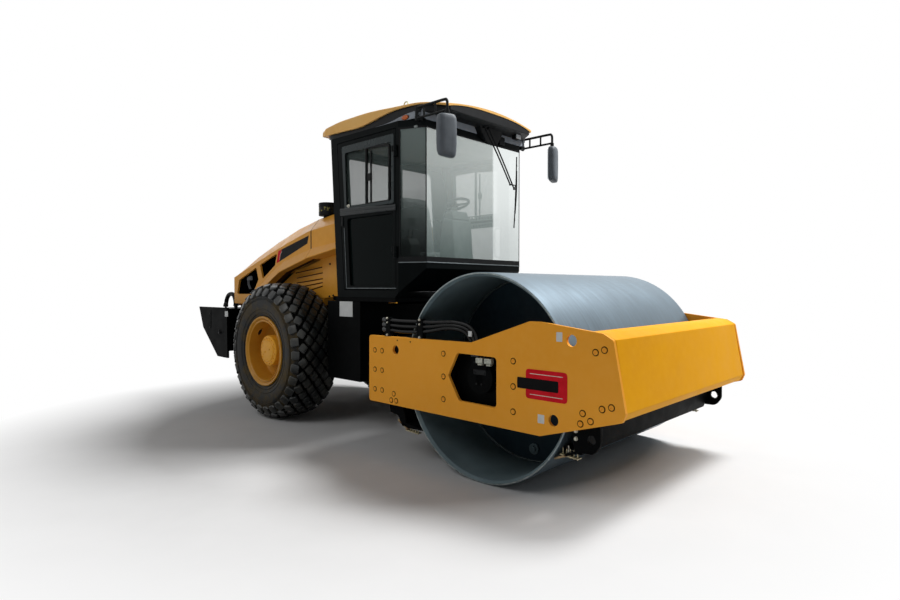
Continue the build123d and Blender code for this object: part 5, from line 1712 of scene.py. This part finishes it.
coverShape = {
    # x from the axle, heights over the tyre's top; the sections give crease height, half width and top
    "half": 665, "panelHalf": 545, "splitSide": 295, "splitTop": 204,
    "sections": [(-1455, 78, 605, 113), (-1080, 193, 530, 327), (-630, 329, 512, 491), (-180, 456, 505, 626),
                 (240, 563, 500, 716), (870, 633, 500, 788)],
    "arch": [(-1000, -357), (-730, -147), (-480, 18), (-250, 135), (287, 272), (303, 275), (815, 357)],
    # the hood's share of the arch, then the rear frame's; a section across the liner
    "archSpans": {"hood": slice(0, 5), "rear_frame": slice(5, 7)},
    "archSection": [(552, 6), (722, -5), (722, -1), (552, 10)],
    "strip": [(-372, 376), (258, 520), (226, 432), (-416, 232)],
    "redEnd": [(-372, 376), (-298, 393), (-352, 252), (-416, 232)],
    "silver": [(-292, 368), (-322, 338), (-336, 306), (-344, 272)],
    "foam": [(-1400, -160), (-1400, 40), (-880, 225), (-380, 375), (-380, 200), (-760, 20), (-1000, -165)],
    # louvres and panel bolts: x from the axle and height from its middle
    "louvres": [((-177, 799), (344, 853)), ((-178, 742), (343, 788)), ((-55, 702), (343, 745)),
                ((120, 664), (342, 706)), ((-200, 858), (330, 915))],
    "louvreDepth": 9, "louvreHeight": 30, "slot": ((-1, -11), (1.2, -11), (1.2, 0.5), (-1, 0.5)),
    "panelBolts": [(482, 941), (470, 589), (690, 586), (540, 600)],
    "tank": [(-1185, 34), (-1185, 74), (-1120, 96), (-1052, 92), (-1046, 40)],
    "bowl": 100, "band": [(-4, 44), (1.2, 44), (1.2, 92), (-4, 92)], "ribs": (10, 30, 106, 124),
    "rib": ((-4, -5), (3, -4), (3, 4), (-4, 5)),
}


def onCover(side, x, z, y):
    x, z = atCover(x, z)
    return Vector((x, side * y * mm, z))


def addLouvre(ridges, slots, start, end, side):
    face, tall = coverShape["panelHalf"], coverShape["louvreHeight"]
    sections, low = [], []
    for share in (0, 0.04, 0.5, 0.96, 1):
        x, z = Vector(start).lerp(Vector(end), share)
        deep = coverShape["louvreDepth"] * (0.15 if share in (0, 1) else 1)
        outline = ((-1, 0), (deep, 1), (deep * 0.8, tall * 0.4), (1, tall), (-1, tall))
        for rings, spots in ((sections, outline), (low, coverShape["slot"])):
            rings.append([(x, side * (face + out) * mm, z + rise * mm) for out, rise in spots])
    addLoft(ridges, sections)
    addLoft(slots, low)


def makeCoverTrim(sideName, side):
    shape, half = coverShape, coverShape["half"]

    def trim(name, part, body, look, slot, **more):
        finishPiece("{}_{}".format(name, sideName), part, body, look, slot, **more)

    strip, foam, slots, ridges, bolts = [bmesh.new() for _ in range(5)]
    addPrism(strip, [onCover(side, x, z, half) for x, z in shape["strip"]], (0, side * 1.2 * mm, 0), 0)
    addPrism(strip, [onCover(side, x, z, half + 1.2) for x, z in shape["redEnd"]],
             (0, side * 0.6 * mm, 0), 1)
    silver = [onCover(side, x, z, half + 1.4) for x, z in shape["silver"]]
    addTube(strip, smoothPath(silver, 5), 3 * mm, 8, 2)
    trim("coverStrip", strip, "hood", ["black", "red", "zinc"], "cab_plastic", smooth=20)
    # a near-black, glossless sheet behind the hood's side windows: painted shade of the engine bay
    addPrism(foam, [onCover(side, x, z, 612) for x, z in shape["foam"]], (0, side * 14 * mm, 0))
    trim("bayShadeSheet", foam, "hood", "foam", "buffer_rubber")
    for body, span in shape["archSpans"].items():
        liner = bmesh.new()
        addLoft(liner, [[onCover(side, x, low + rise, y) for y, rise in shape["archSection"]]
                        for x, low in shape["arch"][span]])
        trim("archLiner_" + body, liner, body, "archOchre", "ochre_enamel", smooth=40)
    for start, end in shape["louvres"]:
        addLouvre(ridges, slots, atAxle(*start), atAxle(*end), side)
    trim("louvreRidges", ridges, "rear_frame", "coverOchre", "ochre_enamel", smooth=50)
    trim("louvreSlots", slots, "rear_frame", "grime", "frame_black")
    for x, z in shape["panelBolts"]:
        x, z = atAxle(x, z)
        addBolt(bolts, (x, side * shape["panelHalf"] * mm, z), (0, side, 0), 17 * mm)
    trim("panelBolts", bolts, "rear_frame", "iron", "cast_iron", bevel=1)


def makeCoverSeal():
    # rubber in the gap between hood and cowl, just proud of the enamel and 24 mm deep
    part = bmesh.new()
    proud, deep = coverShape["half"] + 0.4, 24
    rings = []
    for shift in (-5, 13):
        x0, x1 = coverShape["splitSide"] + shift, coverShape["splitTop"] + shift
        crease = between(coverShape["sections"], x0)[0]
        topHalf, high = between(coverShape["sections"], x1)[1:]
        outer = [(x0, 290, proud), (x0, crease, proud), (x1, high + 0.6, topHalf)]
        inner = [(x, z - (22 if i else 0), y - deep) for i, (x, z, y) in enumerate(outer)]
        # over the outside from one side to the other, and back along the inside
        rings.append([onCover(side, *spot) for line, near in ((outer, -1), (inner, 1))
                      for side, spots in ((near, line), (-near, line[::-1])) for spot in spots])
    addLoft(part, rings)
    finishPiece("coverSeal", part, "rear_frame", "seal", "buffer_rubber")


def makeBayParts():
    # what the rear window openings show: the edge of a header tank, its cap and hoses
    tank, hoses = bmesh.new(), bmesh.new()

    def hose(side, spots, radius):
        path = [onCover(side, x, z, y) for x, z, y in spots]
        addTube(hoses, smoothPath(path, 6), radius * mm)

    for side in (-1, 1):
        outline = rounded(coverShape["tank"], 14, 4)
        addPrism(tank, [onCover(side, x, z, 624) for x, z in outline], (0, side * 10 * mm, 0))
        addRod(tank, onCover(side, -1090, 66, 630), onCover(side, -1090, 66, 640), 20 * mm)
        for x in (-1160, -1128):
            hose(side, ((x, 44, 630), (x + 6, -10, 632), (x + 44, -70, 630)), 8)
        for x in (-930, -890, -850):
            hose(side, ((x, 120, 629), (x + 8, 160, 630), (x + 10, 200, 629)), 5)
    finishPiece("headerTank", tank, "hood", "tankPlastic", "cab_plastic", bevel=4)
    finishPiece("bayHoses", hoses, "hood", "tankPlastic", "buffer_rubber", smooth=60)


def addSkirt(part, centre, profile, steps=64):
    # an open turned band round an upright axis
    rings = []
    for step in range(steps):
        angle = 2 * math.pi * step / steps
        out = Vector((math.cos(angle), math.sin(angle), 0)) * mm
        rings.append([part.verts.new(centre + out * r + Vector((0, 0, z * mm))) for r, z in profile])
    for one, after in zip(rings, rings[1:] + rings[:1]):
        for i in range(len(profile) - 1):
            part.faces.new((one[i], one[i + 1], after[i + 1], after[i]))


def makePrecleanerTrim():
    low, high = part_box("precleaner")
    centre = (low + high) / 2
    centre.z = high.z - 140 * mm
    radius = coverShape["bowl"]
    band, ribs = bmesh.new(), bmesh.new()
    addSkirt(band, centre, [(radius + out, z) for out, z in coverShape["band"]])
    for height in coverShape["ribs"]:
        addSkirt(ribs, centre, [(radius + out, height + z) for out, z in coverShape["rib"]])
    finishPiece("precleanerBand", band, "rear_frame", "bandVinyl", "cab_plastic", smooth=50)
    finishPiece("precleanerRibs", ribs, "rear_frame", "seal", "cab_plastic", smooth=50)


def wornVinyl():
    # a worn printed band round the bowl: broken pale patches on black vinyl
    material, tree, shader, place = startMaterial("bandVinyl", {"Roughness": 0.45, "IOR": 1.46,
                                                                "Specular IOR Level": 0.15})
    patches = ramp(tree, noiseAt(tree, place, 26, 3), 0.53, 0.6)
    dress(tree, shader, blendColours(tree, patches, "#0B0C0D", "#8F8A4C"),
          normal=bumpFrom(tree, noiseAt(tree, place, 3, 3), 0.1))
    return material


# hood, cowl and side panels: a paler, glossier copy of the ochre; the paler colour is a painted sheen of the
# sky, the gloss is real
finish["coverOchre"] = sprayedEnamel("coverEnamelSheen", "#EBA63A", "#F1B046", "#DF9A2E", 0.38, 5, gloss=0.24)
# the liner under the flare is dark brown ochre: painted shade under the wheel arch
finish["archOchre"] = sprayedEnamel("archEnamelShade", "#40260A", "#4A2E0E", "#301A06", 0.5, 6, gloss=0.1)
# near-black and without gloss: painted shade inside the engine bay
finish["foam"] = mouldedPlastic("bayShadeSheet", "#010101", "#030303", 8, 0.95, 0.0)
finish["bandVinyl"] = wornVinyl()
finish["tankPlastic"] = mouldedPlastic("tankPlastic", "#3C3F40", "#54575A")
finishNodes({"coverOchre": ["hood", "cowl", "side_panels"]})
bothSides(makeCoverTrim)
makeCoverSeal()
makeBayParts()
makePrecleanerTrim()
print("stage: engine cover")

# ---- Rear frame

rearShape = {
    # x from the axle and heights from its middle, on the face of the cheek
    "cheek": 900, "marks": ([(-1628, 181), (-1614, 181), (-1612, 397), (-1626, 397)],
                            [(-1168, -5), (-1160, -5), (-1154, 245), (-1162, 245)]),
    "cheekLabel": (-1239, 325, -1161, 392),
    "cheekBolts": [(-1379, 116, 30), (-1389, 148, 16), (-1640, 349, 14), (-1648, 172, 14)],
    "knob": (-1325, 408), "knobY": 845,
    "hoops": [(-1830, 431), (-1800, 520), (-1745, 582), (-1668, 600), (-1602, 584), (-1560, 520),
              (-1545, 437)],
    "hoopY": 600, "hoopTube": 27, "footTube": 33,
    "tank": 790, "tankLabel": (-137, 1137, 72, 1286),      # on the tank's side, from the shared origin
    "hitchX": -1955, "hitchPlates": (236, 316), "hitchPin": (-1932, 214),
    "lamp": (-1944, 720, 352), "lampCase": ((52, -62, -36), (2, 62, 36)),
    "lampLens": ((4, -54, -28), (-4, 54, 28)),
    "grilleX": -1455, "grilleZ": -190, "blades": 9, "bladeStep": 30, "bladeHalf": 0.44,
    "blade": ((1, 0), (-3, -4), (-3, 6), (1, 14)),
}


def makeRearTrim(sideName, side):
    shape = rearShape

    def at(point, out):
        x, z = atAxle(*point)
        return Vector((x, side * (shape["cheek"] + out) * mm, z))

    def trim(name, part, look, slot, **more):
        finishPiece("{}_{}".format(name, sideName), part, "rear_frame", look, slot, **more)

    marks, knob, bolts, label, hoop = [bmesh.new() for _ in range(5)]
    for outline in shape["marks"]:
        addPrism(marks, [at(p, -1) for p in outline], (0, side * 1.6 * mm, 0))
    trim("cheekSlots", marks, "void", "frame_black")
    x, z = atAxle(*shape["knob"])
    foot, rise = Vector((x, side * shape["knobY"] * mm, z)), Vector((0, 0, mm))
    addRod(knob, foot, foot + rise * 50, 12 * mm)
    addRod(knob, foot + rise * 35, foot + rise * 85, 30 * mm, 32, 24 * mm)
    trim("fillerKnob", knob, "seal", "cab_plastic", bevel=6)
    for x, z, size in shape["cheekBolts"]:
        addBolt(bolts, at((x, z), 0), (0, side, 0), size * mm)
    trim("cheekBolts", bolts, "iron", "cast_iron", bevel=1)
    x0, z0, x1, z1 = shape["cheekLabel"]
    addPrism(label, [at(p, 0) for p in ((x0, z0), (x1, z0), (x1, z1), (x0, z1))], (0, side * 0.8 * mm, 0))
    x0, z0, x1, z1 = shape["tankLabel"]
    addPrism(label, [(x * mm, side * shape["tank"] * mm, z * mm) for x, z in
                     ((x0, z0), (x1, z0), (x1, z1), (x0, z1))], (0, side * 0.8 * mm, 0))
    trim("frameLabels", label, "label", "cab_plastic")
    path = onSide(side, shape["hoops"], shape["hoopY"] * mm, atAxle)
    addTube(hoop, smoothPath(path, 6), shape["hoopTube"] * mm, 16)
    for end in (path[0], path[-1]):
        addRod(hoop, Vector(end) + rise * 6, Vector(end) + rise * 26, shape["footTube"] * mm)
    trim("coverHoops", hoop, "seal", "cast_iron", smooth=50)


def makeTail():
    # towing hitch, lamps and the radiator grille across the back
    hitch, lamps, rims, grille = [bmesh.new() for _ in range(4)]
    for height in rearShape["hitchPlates"]:
        x, z = atAxle(rearShape["hitchX"], height)
        addBox(hitch, (x, -0.07, z), (x + 0.12, 0.07, z + 0.022))
    x, z = atAxle(*rearShape["hitchPin"])
    addRod(hitch, (x, 0, z), (x, 0, z + 0.146), 14 * mm)
    finishPiece("towHitch", hitch, "rear_frame", "iron", "cast_iron", bevel=3)
    x, y, z = rearShape["lamp"]
    for side in (-1, 1):
        for part, box in ((rims, "lampCase"), (lamps, "lampLens")):
            addBox(part, *[placed(atAxle, x + out, (side * y + across) * mm, z + rise)
                           for out, across, rise in rearShape[box]])
    finishPiece("rearLampCases", rims, "rear_frame", "seal", "cab_plastic", bevel=3)
    finishPiece("rearLamps", lamps, "rear_frame", "redLens", "cab_plastic", bevel=4)
    for step in range(rearShape["blades"]):
        x, z = atCover(rearShape["grilleX"], rearShape["grilleZ"] + step * rearShape["bladeStep"])
        addPrism(grille, [(x + out * mm, -rearShape["bladeHalf"], z + rise * mm)
                          for out, rise in rearShape["blade"]], (0, 2 * rearShape["bladeHalf"], 0))
    finishPiece("rearGrille", grille, "hood", "seal", "cab_plastic", bevel=1)


finish["void"] = mouldedPlastic("cutShadow", "#020202", "#050505", 4, 0.9, 0.0)
finish["redLens"] = mouldedPlastic("redLens", "#7A0C0C", "#981414", 3, 0.2)
bothSides(makeRearTrim)
makeTail()
print("stage: rear frame")
